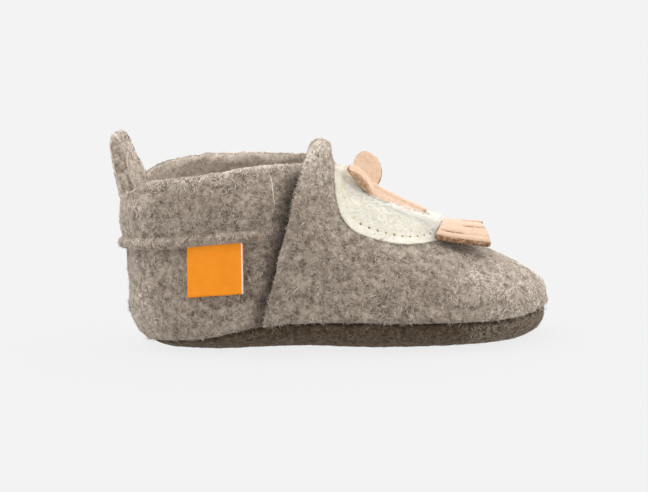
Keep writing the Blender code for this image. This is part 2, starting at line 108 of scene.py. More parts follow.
# Things sewn on the vamp, along its ridge and across it
PATCH_BACK, PATCH_MIDDLE, PATCH_FRONT = 63.0, 76.5, 98.0
PATCH_HALF_WIDTH = 18.5
PATCH_BACK_POWER, PATCH_FRONT_POWER = 3.2, 2.3
PATCH_EDGE_LIFT = 0.5
PATCH_LIFT = 2.85
STITCH_INSET = 2.3
STITCH_PITCH = 2.4
LEATHER = 2.0
HEAD_LEATHER = 1.6
FACE_BACK, FACE_FRONT = 71.5, 90.0
FACE_HALF_WIDTH = 7.0
FACE_NOSE_SHARE = 0.72
FACE_BACK_LIFT, FACE_NOSE_LIFT = 4.4, 3.0
FACE_DROOP = 1.6
FACE_FOLD, FACE_FOLD_SIDE = 0.5, -3.2
EAR_LENGTH = 14.8
EAR_NECK, EAR_NECK_HALF = 2.4, 1.5
EAR_CURL = 0.8
EAR_LEATHER = 1.2
EAR_FOLD_RADIUS = 1.0
EAR_COLUMNS = ("x", "side", "lift", "half_width", "along", "upward", "fold_from", "fold_turn")
EAR_ROWS = (
    (75.6, -5.0, 2.6, 3.8, (-0.70, -0.18, 0.78), (0.38, 0.76, 0.50), 0.6, 2.5),
    (74.4, 4.6, 3.6, 4.2, (-0.25, 0.48, 0.82), (0.92, 0.0, 0.30), 9.0, 0.0),
)
FRINGE_BACK = 95.2
FRINGE_LENGTH = 11.9
FRINGE_HALF_WIDTH = 13.2
FRINGE_SWEEP, FRINGE_TIP_SWEEP = 2.3, 1.0
FRINGE_ROOT_LIFT, FRINGE_ROOT_DROOP = 2.1, 0.6
FRINGE_RISE, FRINGE_RISE_POWER = 3.2, 1.3
FRINGE_SLIT, FRINGE_CURL = 0.5, 0.25
# Slits in the fringe: how far to a side, and where they open and close along it, or past its end
PAST = 99.0
FRINGE_SLITS = ((-11.2, 0.3, 6.5), (-6.0, 5.0, PAST), (1.5, 4.5, PAST), (7.5, 5.0, PAST))
LABEL_BACK = 19.5
LABEL_WIDTH = 15.9
LABEL_TUCK = 0.6
LABEL_HEIGHT = 15.4
LABEL_THICKNESS = 0.8
LABEL_LIFT, LABEL_FLARE, LABEL_WAVE, LABEL_WAVE_TURN = 0.45, 0.35, 0.12, 0.5
LABEL_STEPS, LABEL_ROWS = 40, 36


def turn_of(station):
    """The angle that a station has when the last's length is seen as a turn from heel to toe."""
    return np.arccos(np.clip(1 - 2 * np.asarray(station, float) / LAST_LENGTH, -1, 1))


def station_of(turn):
    return LAST_LENGTH * (1 - np.cos(turn)) / 2


def smooth_curve(stations, values):
    """A curve through the values, over the turn, that never swings past them."""
    knots, values = turn_of(stations), np.asarray(values, float)
    step = np.diff(knots)
    slope = np.diff(values) / step
    before, after = 2 * step[1:] + step[:-1], step[1:] + 2 * step[:-1]
    same_way = slope[:-1] * slope[1:] > 0
    safe = np.where(same_way, slope[:-1], 1), np.where(same_way, slope[1:], 1)
    middle = np.where(same_way, (before + after) / (before / safe[0] + after / safe[1]), 0)
    tangent = np.concatenate([slope[:1], middle, slope[-1:]])

    def curve(turn):
        at = np.clip(turn, knots[0], knots[-1])
        i = np.clip(np.searchsorted(knots, at) - 1, 0, len(step) - 1)
        t = (at - knots[i]) / step[i]
        start = values[i] * (1 + 2 * t) * (1 - t) ** 2 + values[i + 1] * t * t * (3 - 2 * t)
        return start + step[i] * t * (1 - t) * (tangent[i] * (1 - t) - tangent[i + 1] * t)

    return curve


def table_curves(columns, rows):
    data = np.array(rows, float).T
    return {name: smooth_curve(data[0], column) for name, column in zip(columns[1:], data[1:])}


LAST = table_curves(LAST_COLUMNS, LAST_ROWS)
SEAM = table_curves(("station", "height"), SEAM_ROWS)["height"]
RIM = table_curves(RIM_COLUMNS, RIM_ROWS)
HEM = table_curves(("station", "height"), HEM_ROWS)["height"]


def signed_power(value, power):
    return np.sign(value) * np.abs(value) ** power


def smooth_step(value):
    value = np.clip(value, 0, 1)
    return value * value * (3 - 2 * value)


def last_point(turn, rise):
    """A point on the last. The rise is an angle: -90 degrees under the foot, 0 at the widest level
    and 90 on the ridge."""
    turn, rise = np.broadcast_arrays(np.asarray(turn, float), np.asarray(rise, float))
    part = {name: curve(np.abs(turn)) for name, curve in LAST.items()}
    above = rise > 0
    power = 2 / np.where(above, part["arch_power"], part["base_power"])
    reach = np.where(above, part["top"] - part["widest"], part["widest"] - part["bottom"])
    height = part["widest"] + reach * signed_power(np.sin(rise), power)
    across = part["half_width"] * signed_power(np.cos(rise), power)
    along = station_of(np.abs(turn)) + part["lean"] * (height - LEAN_BASE)
    return np.stack([along, part["drift"] - np.sign(turn) * across, height], -1)


def outward(turn, rise):
    """The last's unit normal, pointing out of the foot."""
    small = 1e-3
    turn, rise = np.broadcast_arrays(np.asarray(turn, float), np.asarray(rise, float))
    ahead, behind = np.minimum(turn + small, np.pi), np.maximum(turn - small, -np.pi)
    along = last_point(ahead, rise) - last_point(behind, rise)
    up = last_point(turn, rise + small) - last_point(turn, rise - small)
    normal = np.cross(along, up)
    return normal / np.maximum(np.linalg.norm(normal, axis=-1, keepdims=True), 1e-12)


def offset_point(turn, rise, distance):
    return last_point(turn, rise) + outward(turn, rise) * np.asarray(distance)[..., None]


def rise_at_height(turn, height):
    part = {name: curve(np.abs(turn)) for name, curve in LAST.items()}
    above = np.clip((height - part["widest"]) / (part["top"] - part["widest"]), 0, 1)
    below = np.clip((part["widest"] - height) / np.maximum(part["widest"] - part["bottom"], 1e-6), 0, 1)
    return np.arcsin(above ** (part["arch_power"] / 2)) - np.arcsin(below ** (part["base_power"] / 2))


def rise_at_side(turn, side):
    """The rise over the arch at a distance from the ridge, and the turn with that side's sign."""
    share = np.clip(np.abs(side) / LAST["half_width"](turn), 0, 1)
    return np.arccos(share ** (LAST["arch_power"](turn) / 2)), np.where(side > 0, -turn, turn)


def vamp_thickness(turn):
    """The wall ahead of the lap: two felts at the vamp's edge, one further on."""
    ahead = (station_of(np.abs(turn)) - LAP_STATION) / LAP_FADE
    return FELT + LAP_FELT * smooth_step(1 - ahead)


def ridge_turn(x):
    turns = np.linspace(turn_of(LAP_STATION), RIDGE_END, RIDGE_SAMPLES)
    ridge = offset_point(turns, np.full_like(turns, np.pi / 2), vamp_thickness(turns))
    return np.interp(x, ridge[:, 0], turns)


def on_vamp(x, side, lift):
    """A point over the vamp: where its ridge is at x, that far to a side, that high off its felt."""
    turn = ridge_turn(np.asarray(x, float))
    rise, signed = rise_at_side(turn, np.asarray(side, float))
    return offset_point(signed, rise, vamp_thickness(turn) + lift)


def seam_rise(turn, above):
    """The rise of the sole seam, a little above or below it, or under the heel behind its start."""
    rise = rise_at_height(turn, SEAM(turn) + above)
    return np.where(turn <= turn_of(SEAM_ROWS[0][0]) + 1e-6, -np.pi / 2, rise)


def rim_height(turn):
    return np.where(turn < 0, RIM["inner"](np.abs(turn)), RIM["outer"](np.abs(turn)))


def wall_turn(x, height):
    """The turn of the wall at a distance from the heel and a height."""
    turn = turn_of(np.clip(x, 0, LAST_LENGTH))
    for _ in range(WALL_TRIES):
        turn = turn_of(np.clip(x - LAST["lean"](turn) * (height - LEAN_BASE), 0, LAST_LENGTH))
    return turn


# Numbers that scramble a cell's place in a grid to a random height
HASH_STEPS, HASH_SEED = np.array([73856093, 19349663, 83492791]), 2654435761
HASH_MIXES = ((13, 1274126177), (16, 668265263))
HASH_MASK = 0x7FFFFFFF


def lumps(points, size, seed):
    """Smooth random heights from -1 to 1 at points, in lumps of about that size."""
    at = np.asarray(points, float) / size
    cell = np.floor(at).astype(np.int64)
    part = at - cell
    part = part * part * part * (part * (part * 6 - 15) + 10)
    total = np.zeros(at.shape[:-1])
    for corner in np.ndindex(2, 2, 2):
        key = (cell + corner) @ HASH_STEPS + seed * HASH_SEED
        for shift, factor in HASH_MIXES:
            key = (key ^ (key >> shift)) * factor & HASH_MASK
        weight = np.prod(np.where(np.array(corner) == 1, part, 1 - part), axis=-1)
        total += weight * (key / (HASH_MASK // 2) - 1)
    return total


# Unevenness in layers: how deep and how big the lumps of each are
FELT_LAYERS = ((0.26, 9.0), (0.16, 4.0), (0.10, 1.7))
SOLE_LAYERS = ((0.10, 3.0), (0.06, 1.2))
INSOLE_LAYERS = ((0.12, 5.0), (0.06, 1.5))
TONE_LAYERS = ((0.65, 5.0), (0.8, 2.2), (0.9, 1.1))


def layered(points, layers, seed):
    """Lumps of several sizes laid one on another."""
    return sum(depth * lumps(points, size, seed + k) for k, (depth, size) in enumerate(layers))


def bell(value, width):
    """1 where the value is 0, falling softly on both sides over about that width."""
    return np.exp(-((value / width) ** 2))


# Meshes

MERGE, SLIVER = 0.004, 0.0005
# Where a slab's top, bottom and cut edge lie in its UV space
UV_HEIGHT, UV_BOTTOM, UV_EDGE, UV_EDGE_HEIGHT = 0.45, 0.46, 0.93, 0.06
EDGE_ROUGH, EDGE_LUMPS, EDGE_SEED = 0.5, 0.9, 91


def to_world(points):
    """Points in the last's millimetres, as metres in the shoe's frame."""
    return (np.asarray(points) + np.array([HEEL_X, CENTRE_Y, 0])) * MM


def show(name, mesh, materials):
    for material in materials:
        mesh.materials.append(material)
    piece = bpy.data.objects.new(name, mesh)
    bpy.context.scene.collection.objects.link(piece)
    return piece


def make_mesh(name, points, faces, materials, slots=None, uvs=None):
    """A smooth closed piece from points in the last's millimetres, its faces turned outwards."""
    bm = bmesh.new()
    verts = [bm.verts.new(p) for p in to_world(points)]
    layer = bm.loops.layers.uv.new("OFBake")
    for number, face in enumerate(faces):
        made = bm.faces.new([verts[i] for i in face])
        made.smooth = True
        if slots is not None:
            made.material_index = int(slots[number])
        if uvs is not None:
            for loop, uv in zip(made.loops, uvs[number]):
                loop[layer].uv = uv
    bmesh.ops.remove_doubles(bm, verts=bm.verts, dist=MERGE * MM)
    bmesh.ops.dissolve_degenerate(bm, edges=bm.edges, dist=SLIVER * MM)
    bmesh.ops.recalc_face_normals(bm, faces=bm.faces)
    if bm.calc_volume(signed=True) < 0:
        bmesh.ops.reverse_faces(bm, faces=bm.faces)
    mesh = bpy.data.meshes.new(name)
    bm.to_mesh(mesh)
    bm.free()
    return show(name, mesh, materials)


def grid_faces(columns, rows, ring, start=0):
    """The quads of a grid of columns, whose rows may close to rings, and their corners' UVs."""
    i, j = np.meshgrid(np.arange(columns - 1), np.arange(rows if ring else rows - 1), indexing="ij")
    i, j = i.ravel(), j.ravel()
    after = (j + 1) % rows
    quads = np.stack([i * rows + j, (i + 1) * rows + j, (i + 1) * rows + after, i * rows + after], -1) + start
    u = np.stack([i, i + 1, i + 1, i], -1) / (columns - 1)
    v = np.stack([j, j, j + 1, j + 1], -1) / rows
    return quads, np.stack([u, v], -1)


def make_tube(name, grid, materials, slots=None, caps=(True, True)):
    """A closed piece from columns of rings, with the end rings capped."""
    columns, rows = grid.shape[:2]
    quads, uvs = grid_faces(columns, rows, True)
    faces, uvs = list(map(tuple, quads)), list(uvs)
    slots = [] if slots is None else list(np.broadcast_to(slots, (columns - 1, rows)).ravel())
    for end, wanted in zip((0, columns - 1), caps):
        if wanted:
            faces.append(tuple(end * rows + np.arange(rows)))
            uvs.append(np.full((rows, 2), end / (columns - 1)))
            slots += [0] if slots else []
    return make_mesh(name, grid.reshape(-1, 3), faces, materials, slots or None, uvs)


def border_of(columns, rows):
    """The indices round a grid's border, in order."""
    index = np.arange(columns * rows).reshape(columns, rows)
    return np.concatenate([index[:-1, 0], index[-1, :-1], index[:0:-1, -1], index[0, :0:-1]])


def slab(top, bottom, edge_rows, bulge, rounding=(0.0, 0.0), top_slots=None, open_share=1.0, under=0):
    """Points, faces, slots and UVs of a sheet: a top, a bottom and a cut edge between them.
    The rounding is how far the outermost two rings of the top and the bottom draw together, and the
    open share how much of it there is at each place. The bottom's slot is the one under."""
    columns, rows = top.shape[:2]
    quads, uvs = grid_faces(columns, rows, False)
    i, j = np.meshgrid(np.arange(columns), np.arange(rows), indexing="ij")
    ring = np.minimum(np.minimum(i, columns - 1 - i), np.minimum(j, rows - 1 - j))
    draw = np.where(ring == 0, rounding[0], np.where(ring == 1, rounding[1], 0.0)) * open_share
    draw = draw[..., None]
    upper = (top + (bottom - top) * draw).reshape(-1, 3)
    lower = (bottom + (top - bottom) * draw).reshape(-1, 3)
    count = columns * rows
    loop = border_of(columns, rows)
    middle = upper.mean(0)
    walls = []
    for share in np.linspace(0, 1, edge_rows + 1)[1:-1]:
        level = upper[loop] * (1 - share) + lower[loop] * share
        away = np.roll(level, -1, 0) - np.roll(level, 1, 0)
        out = np.cross(away, upper[loop] - lower[loop])
        out /= np.maximum(np.linalg.norm(out, axis=-1, keepdims=True), 1e-9)
        out *= np.sign(np.sum(out * (level - middle), -1).sum())
        rough = EDGE_ROUGH * bulge * lumps(level, EDGE_LUMPS, EDGE_SEED)[:, None]
        walls.append(level + out * (bulge * np.sin(np.pi * share) + rough))
    points = np.concatenate([upper, lower, *walls])
    faces = [tuple(q) for q in quads] + [tuple(q[::-1] + count) for q in quads]
    corner = list(uvs * [1, UV_HEIGHT]) + list(uvs[:, ::-1] * [1, UV_HEIGHT] + [0, UV_BOTTOM])
    slots = [0] * len(quads) if top_slots is None else list(top_slots.ravel())
    slots += [under] * len(quads)
    around = len(loop)
    between = [2 * count + k * around + np.arange(around) for k in range(edge_rows - 1)]
    levels = [loop, *between, loop + count]
    for level, (high, low) in enumerate(zip(levels, levels[1:])):
        for k in range(around):
            n = (k + 1) % around
            faces.append((high[k], high[n], low[n], low[k]))
            v = UV_EDGE + UV_EDGE_HEIGHT * np.array([level, level, level + 1, level + 1]) / edge_rows
            corner.append(np.stack([np.array([k, k + 1, k + 1, k]) / around, v], -1))
            slots.append(1)
    return points, faces, slots, corner


def make_slabs(name, sheets, materials):
    """One piece from several slabs."""
    points, faces, slots, corners = [], [], [], []
    start = 0
    for number, (p, f, s, c) in enumerate(sheets):
        points.append(p)
        faces += [tuple(np.array(face) + start) for face in f]
        slots += s
        corners += [(uv + [number, 0]) / [len(sheets), 1] for uv in c]
        start += len(p)
    return make_mesh(name, np.concatenate(points), faces, materials, slots, corners)


def place(piece, slot, *nodes):
    """A piece rides with the shoe and may stand for CAD nodes, whose parts are hidden. The slot is not used.
    """
    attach(piece, BODY)
    if nodes:
        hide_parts(*nodes)
    return piece


# Materials

SHEEN_ROUGHNESS, SHEEN_TINT = 0.6, (1.0, 0.91, 0.81, 1)
NOISE_ROUGHNESS = 0.6
# Felt: its roughness and gloss, the wisps in it, and its bumps as (part of the fine size, depth)
FELT_FINISH = (0.95, 0.1)
WISP_DETAIL, WISP_ROUGHNESS, WISP_DISTORTION = 8.0, 0.78, 0.2
STRAND_DISTORTION = 0.8
FELT_BUMPS = ((1, 0.35), (3, 0.15))
FIBRE_FINISH = (0.9, 0.1)
LEATHER_DETAIL, BUMP_DETAIL = 4.0, 3.0


def new_material(name, roughness, specular=0.2, sheen=0.0):
    material = bpy.data.materials.new(name)
    material.use_nodes = True
    shader = shader_of(material)
    values = {
        "Roughness": roughness, "Specular IOR Level": specular, "Sheen Weight": sheen,
        "Sheen Roughness": SHEEN_ROUGHNESS, "Sheen Tint": SHEEN_TINT,
    }
    for entry, value in values.items():
        shader.inputs[entry].default_value = value
    return material


def shader_of(material):
    return material.node_tree.nodes["Principled BSDF"]


def add_node(material, kind, **values):
    """A node with its properties and input values set by name."""
    node = material.node_tree.nodes.new(kind)
    for name, value in values.items():
        title = name.replace("_", " ").title()
        if title in node.inputs:
            node.inputs[title].default_value = value
        else:
            setattr(node, name, value)
    return node


def join(material, source, output, target, entry):
    material.node_tree.links.new(source.outputs[output], target.inputs[entry])


def noise(material, size, detail=3.0, stretch=(1, 1, 1)):
    """A noise texture with lumps of that many millimetres, in the shoe's own space."""
    place = add_node(material, "ShaderNodeTexCoord")
    mapping = add_node(material, "ShaderNodeMapping", scale=stretch)
    texture = add_node(material, "ShaderNodeTexNoise", scale=1 / (size * MM), detail=detail)
    texture.inputs["Roughness"].default_value = NOISE_ROUGHNESS
    join(material, place, "Object", mapping, "Vector")
    join(material, mapping, "Vector", texture, "Vector")
    return texture


def ramp(material, source, output, stops):
    """Colours over a value, as (place, colour) stops."""
    node = add_node(material, "ShaderNodeValToRGB")
    elements = node.color_ramp.elements
    while len(elements) < len(stops):
        elements.new(0.5)
    for element, (where, colour) in zip(elements, stops):
        element.position = where
        element.color = (*colour, 1)
    join(material, source, output, node, "Fac")
    return node


def colour_by(material, source, output, stops):
    """The base colour over a value."""
    node = ramp(material, source, output, stops)
    join(material, node, "Color", shader_of(material), "Base Color")
    return node


def add_bump(material, heights):
    """Bumps laid one on another: (texture, depth in millimetres) pairs."""
    last = None
    for texture, depth in heights:
        bump = add_node(material, "ShaderNodeBump", distance=depth * MM)
        join(material, texture, "Fac", bump, "Height")
        if last:
            join(material, last, "Normal", bump, "Normal")
        last = bump
    join(material, last, "Normal", shader_of(material), "Normal")


def felt_material(name, stops, mottle=2.4, fine=0.8, sheen=0.3):
    """Felt under its fibres: mottled, wispy wool with deep, matted bumps."""
    material = new_material(name, *FELT_FINISH, sheen)
    wisps = noise(material, mottle, WISP_DETAIL)
    wisps.inputs["Roughness"].default_value = WISP_ROUGHNESS
    wisps.inputs["Distortion"].default_value = WISP_DISTORTION
    level = wisps, "Fac"
    for size in STRAND_SIZES:
        curls = noise(material, size * fine, 0.0)
        curls.inputs["Distortion"].default_value = STRAND_DISTORTION
        line = ramp(material, curls, "Fac", STRAND_STOPS)
        add = add_node(material, "ShaderNodeMath", operation="MULTIPLY_ADD")
        add.inputs[1].default_value = STRAND_SHARE
        join(material, line, "Color", add, 0)
        join(material, *level, add, 2)
        level = add, "Value"
    colour_by(material, *level, stops)
    add_bump(material, [(noise(material, fine / part), depth) for part, depth in FELT_BUMPS])
    return material


def shade_crease(material):
    """Paints shade on the felt towards the line where the vamp's edge overhangs it, less so at the rim."""
    place = add_node(material, "ShaderNodeTexCoord")
    lean = float(LAST["lean"](turn_of(LAP_STATION)))
    line = (LAP_STATION + HEEL_X - lean * LEAN_BASE) * MM
    fades = (((1, 0, -lean), line - CREASE_REACH * MM, line), ((0, 0, -1), *CREASE_FADE))
    shares = []
    for direction, start, end in fades:
        along = add_node(material, "ShaderNodeVectorMath", operation="DOT_PRODUCT")
        along.inputs[1].default_value = direction
        share = add_node(
            material, "ShaderNodeMapRange", interpolation_type="SMOOTHSTEP", from_min=start, from_max=end,
        )
        join(material, place, "Object", along, 0)
        join(material, along, "Value", share, "Value")
        shares.append(share)
    both = add_node(material, "ShaderNodeMath", operation="MULTIPLY")
    join(material, shares[0], "Result", both, 0)
    join(material, shares[1], "Result", both, 1)
    level = add_node(material, "ShaderNodeMath", operation="MULTIPLY_ADD")
    level.inputs[1].default_value = CREASE_SHADE - 1
    level.inputs[2].default_value = 1
    join(material, both, "Value", level, 0)
    entry = shader_of(material).inputs["Base Color"]
    colour = entry.links[0].from_node
    scale = add_node(material, "ShaderNodeVectorMath", operation="SCALE")
    join(material, colour, "Color", scale, 0)
    join(material, level, "Value", scale, "Scale")
    join(material, scale, "Vector", shader_of(material), "Base Color")
    return material


def fibre_material(name, stops, sheen=0.6):
    """Wool fibres, coloured by the tone that each carries."""
    material = new_material(name, *FIBRE_FINISH, sheen)
    tone = add_node(material, "ShaderNodeAttribute", attribute_name="tone")
    colour_by(material, tone, "Fac", stops)
    return material


def leather_material(name, stops, roughness, specular, mottle, bumps):
    """Leather or ribbon: its colours over lumps of a size, and bumps as (size, depth, stretch) rows."""
    material = new_material(name, roughness, specular)
    colour_by(material, noise(material, mottle, LEATHER_DETAIL), "Fac", stops)
    add_bump(material, [(noise(material, size, BUMP_DETAIL, way), depth) for size, depth, way in bumps])
    return material


EVEN = (1, 1, 1)
STRAND_SIZES = (1.1, 1.9)
STRAND_STOPS = ((0.46, (0, 0, 0)), (0.5, (1, 1, 1)), (0.54, (0, 0, 0)))
STRAND_SHARE = 0.07
# Painted shade on the quarter's felt beside the vamp's edge: how far back it reaches, the heights over which
# it fades out at the rim, and the share of colour left at its darkest
CREASE_REACH = 6.0
CREASE_FADE = (-0.057, -0.051)
CREASE_SHADE = 0.1
ALONG_RIBBON = (0.12, 0.5, 1)
# Grey-brown wool, from its dark gaps to its palest strands
WOOL_STOPS = (
    (0.0, (0.15, 0.113, 0.085)), (0.3, (0.31, 0.248, 0.196)), (0.55, (0.46, 0.387, 0.316)),
    (0.8, (0.62, 0.54, 0.455)), (1.0, (0.84, 0.765, 0.67)),
)
WOOL_BASE_STOPS = ((0.39, (0.080, 0.059, 0.042)), (0.5, (0.242, 0.192, 0.150)), (0.61, (0.45, 0.380, 0.312)))
# Paler felt for the linings, the rim's inner half, the insole and the tab; on the linings and the rim the
# paleness is painted light
PALE_AND_PAINTED_LIGHT_STOPS = ((0.38, (0.31, 0.250, 0.200)), (0.5, (0.60, 0.512, 0.430)), (0.62, (0.82, 0.735, 0.645)))
CUT_WOOL_STOPS = ((0.38, (0.18, 0.135, 0.100)), (0.5, (0.42, 0.345, 0.278)), (0.62, (0.68, 0.590, 0.500)))
SOLE_STOPS = (
    (0.0, (0.028, 0.018, 0.011)), (0.5, (0.096, 0.066, 0.042)), (0.85, (0.18, 0.135, 0.095)),
    (1.0, (0.34, 0.28, 0.22)),
)
SOLE_BASE_STOPS = ((0.40, (0.030, 0.019, 0.011)), (0.5, (0.070, 0.047, 0.028)), (0.60, (0.140, 0.100, 0.065)))
CREAM_STOPS = ((0.0, (0.62, 0.565, 0.39)), (0.45, (0.79, 0.75, 0.62)), (1.0, (0.94, 0.925, 0.875)))
CREAM_BASE_STOPS = ((0.4, (0.66, 0.615, 0.485)), (0.5, (0.735, 0.70, 0.595)), (0.6, (0.815, 0.79, 0.715)))
LEATHER_STOPS = ((0.3, (0.525, 0.350, 0.238)), (0.5, (0.58, 0.400, 0.280)), (0.7, (0.625, 0.446, 0.326)))
# The ears' leather is the face's tan made paler: painted light
EAR_PAINTED_LIGHT_STOPS = ((0.3, (0.69, 0.465, 0.315)), (0.5, (0.745, 0.525, 0.370)), (0.7, (0.79, 0.575, 0.425)))
SUEDE_STOPS = (
    (0.36, (0.18, 0.090, 0.043)), (0.47, (0.32, 0.182, 0.100)), (0.56, (0.44, 0.274, 0.165)),
    (0.66, (0.58, 0.390, 0.255)),
)
FLESH_STOPS = ((0.34, (0.36, 0.205, 0.110)), (0.46, (0.56, 0.355, 0.212)), (0.6, (0.72, 0.505, 0.345)))
RIBBON_STOPS = ((0.3, (0.90, 0.275, 0.012)), (0.7, (0.95, 0.310, 0.018)))
SELVEDGE_STOPS = ((0.3, (0.86, 0.78, 0.70)), (0.7, (0.94, 0.90, 0.85)))
# Needle holes: a dark colour that stands for the shade inside each hole, painted shade
HOLE_SHADE_STOPS = ((0.3, (0.24, 0.21, 0.11)), (0.7, (0.36, 0.32, 0.19)))
THREAD_STOPS = ((0.3, (0.72, 0.65, 0.45)), (0.7, (0.86, 0.80, 0.62)))
FLECK_STOPS = ((0.0, (0.62, 0.20, 0.07)), (1.0, (0.72, 0.36, 0.26)))
# Bumps: size, depth and stretch
GRAIN = ((0.5, 0.10, EVEN), (2.5, 0.25, EVEN))
ROUGH_CUT = ((0.6, 0.5, EVEN), (0.25, 0.2, EVEN))
NAP = ((0.6, 0.4, EVEN), (0.25, 0.2, EVEN))
SATIN = ((0.35, 0.12, ALONG_RIBBON),)
WOVEN_EDGE = ((0.3, 0.2, EVEN),)
THREAD_TWIST = ((0.2, 0.1, EVEN),)

wool_base = felt_material("wool_felt", WOOL_BASE_STOPS)
wool_pale_and_painted_light = felt_material("wool_felt_pale_and_painted_light", PALE_AND_PAINTED_LIGHT_STOPS)
# The quarter's felt, with painted shade beside the vamp's edge
wool_quarter_painted_shade = shade_crease(felt_material("wool_felt_quarter_painted_shade", WOOL_BASE_STOPS))
wool_cut = felt_material("wool_felt_cut_edge", CUT_WOOL_STOPS, 1.6, 0.6)
wool_fibre = fibre_material("wool_fibres", WOOL_STOPS)
sole_base = felt_material("sole_felt", SOLE_BASE_STOPS, 1.3, 0.5, 0.1)
sole_fibre = fibre_material("sole_fibres", SOLE_STOPS, 0.1)
cream_base = felt_material("cream_felt", CREAM_BASE_STOPS, 2.5, 0.6, 0.2)
cream_fibre = fibre_material("cream_fibres", CREAM_STOPS, 0.3)
fleck_fibre = fibre_material("orange_flecks", FLECK_STOPS)
leather_top = leather_material("tan_leather", LEATHER_STOPS, 0.6, 0.3, 1.4, GRAIN)
leather_edge = leather_material("tan_leather_cut_edge", SUEDE_STOPS, 0.95, 0.1, 1.1, ROUGH_CUT)
leather_ear_painted_light = leather_material("tan_leather_ears_painted_light", EAR_PAINTED_LIGHT_STOPS, 0.6, 0.3, 1.4, GRAIN)
leather_flesh = leather_material("tan_leather_flesh_side", FLESH_STOPS, 0.95, 0.1, 1.3, NAP)
ribbon_face = leather_material("orange_ribbon", RIBBON_STOPS, 0.55, 0.15, 3.0, SATIN)
ribbon_edge = leather_material("orange_ribbon_edge", RIBBON_STOPS, 0.8, 0.1, 1.0, WOVEN_EDGE)
ribbon_selvedge = leather_material("pale_selvedge", SELVEDGE_STOPS, 0.8, 0.1, 1.0, WOVEN_EDGE)
stitch_hole_painted_shade = leather_material("stitch_hole_painted_shade", HOLE_SHADE_STOPS, 0.95, 0.05, 0.5, THREAD_TWIST)
cream_thread = leather_material("cream_thread", THREAD_STOPS, 0.8, 0.1, 0.6, THREAD_TWIST)


# Upper

VAMP_COLUMNS_COUNT = 130
VAMP_OUTER_ROWS = 130
VAMP_INNER_ROWS = 46
SECTION_SAMPLES = 300
EDGE_STEPS = (0.0, 0.2, 0.5, 0.9, 1.4)
LAP_STEPS = (0.0, 0.12, 0.35, 0.7, 1.2)
EDGE_ROUND = 1.2
SEAM_BULGE, SEAM_BULGE_AT, SEAM_BULGE_WIDTH = 0.35, 1.8, 1.4
LAP_UNDER, LAP_UNDER_END, LAP_UNDER_FADE = 2.75, 7.0, 3.0
LAP_BULGE, LAP_BULGE_AT, LAP_BULGE_WIDTH = 0.7, 1.4, 1.6
LAP_WAVE, LAP_WAVE_SIZE, LAP_WAVE_FADE = 0.45, 6.0, 3.0
# The lap lies flatter low down: by how much, from what height up, and over what height it fades
LAP_FLATTER, FLAT_BELOW, FLAT_FADE = 0.45, 9.0, 12.0
APEX_WIDTH, APEX_FADE = 0.13, 5.0
APEX_FORWARD, APEX_DROP = 2.6, 2.0
CUFF_OUTER = 4.2
CUFF_PUFF = 0.5
RIM_ROUND = 2.4


def section_point(turn, way, low, distance):
    """A point over the foot's section: way -1 at the outer seam, 0 on the ridge, 1 at the inner seam."""
    rise = low + (np.pi / 2 - low) * (1 - np.abs(way))
    return offset_point(np.where(way > 0, -turn, turn), rise, distance)


def even_ways(turns, low, point, count):
    """For each turn, the ways of rows evenly spaced along a section, with closer steps at its edges,
    and how far each is from the nearer edge."""
    fine = np.linspace(-1, 1, 2 * SECTION_SAMPLES + 1)
    ways, from_edge = [], []
    for turn, start in zip(turns, low):
        path = point(turn, fine, start, np.full(len(fine), FELT))
        run = np.concatenate([[0], np.cumsum(np.linalg.norm(np.diff(path, axis=0), axis=1))])
        edge = np.minimum(np.array(EDGE_STEPS), run[-1] * 0.02 * np.arange(len(EDGE_STEPS)))
        inner = np.linspace(edge[-1], run[-1] - edge[-1], count - 2 * len(edge) + 2)
        marks = np.concatenate([edge[:-1], inner, run[-1] - edge[-2::-1]])
        ways.append(np.interp(marks, run, fine))
        from_edge.append(np.minimum(marks, run[-1] - marks))
    return np.array(ways), np.array(from_edge)


def thin_out(rows, count):
    """Fewer entries of each row, evenly spaced."""
    share = np.linspace(0, 1, count)
    return np.array([np.interp(share, np.linspace(0, 1, len(row)), row) for row in rows])


def edge_fullness(from_edge, radius):
    """How full a rounded edge is at a distance from its end: 0 at the end, 1 past its radius."""
    return np.sqrt(np.clip(1 - (1 - np.clip(from_edge / radius, 0, 1)) ** 2, 0, 1))


def seam_swell(from_seam):
    """How far the felt swells beside the sole seam."""
    return SEAM_BULGE * bell(from_seam - SEAM_BULGE_AT, SEAM_BULGE_WIDTH)


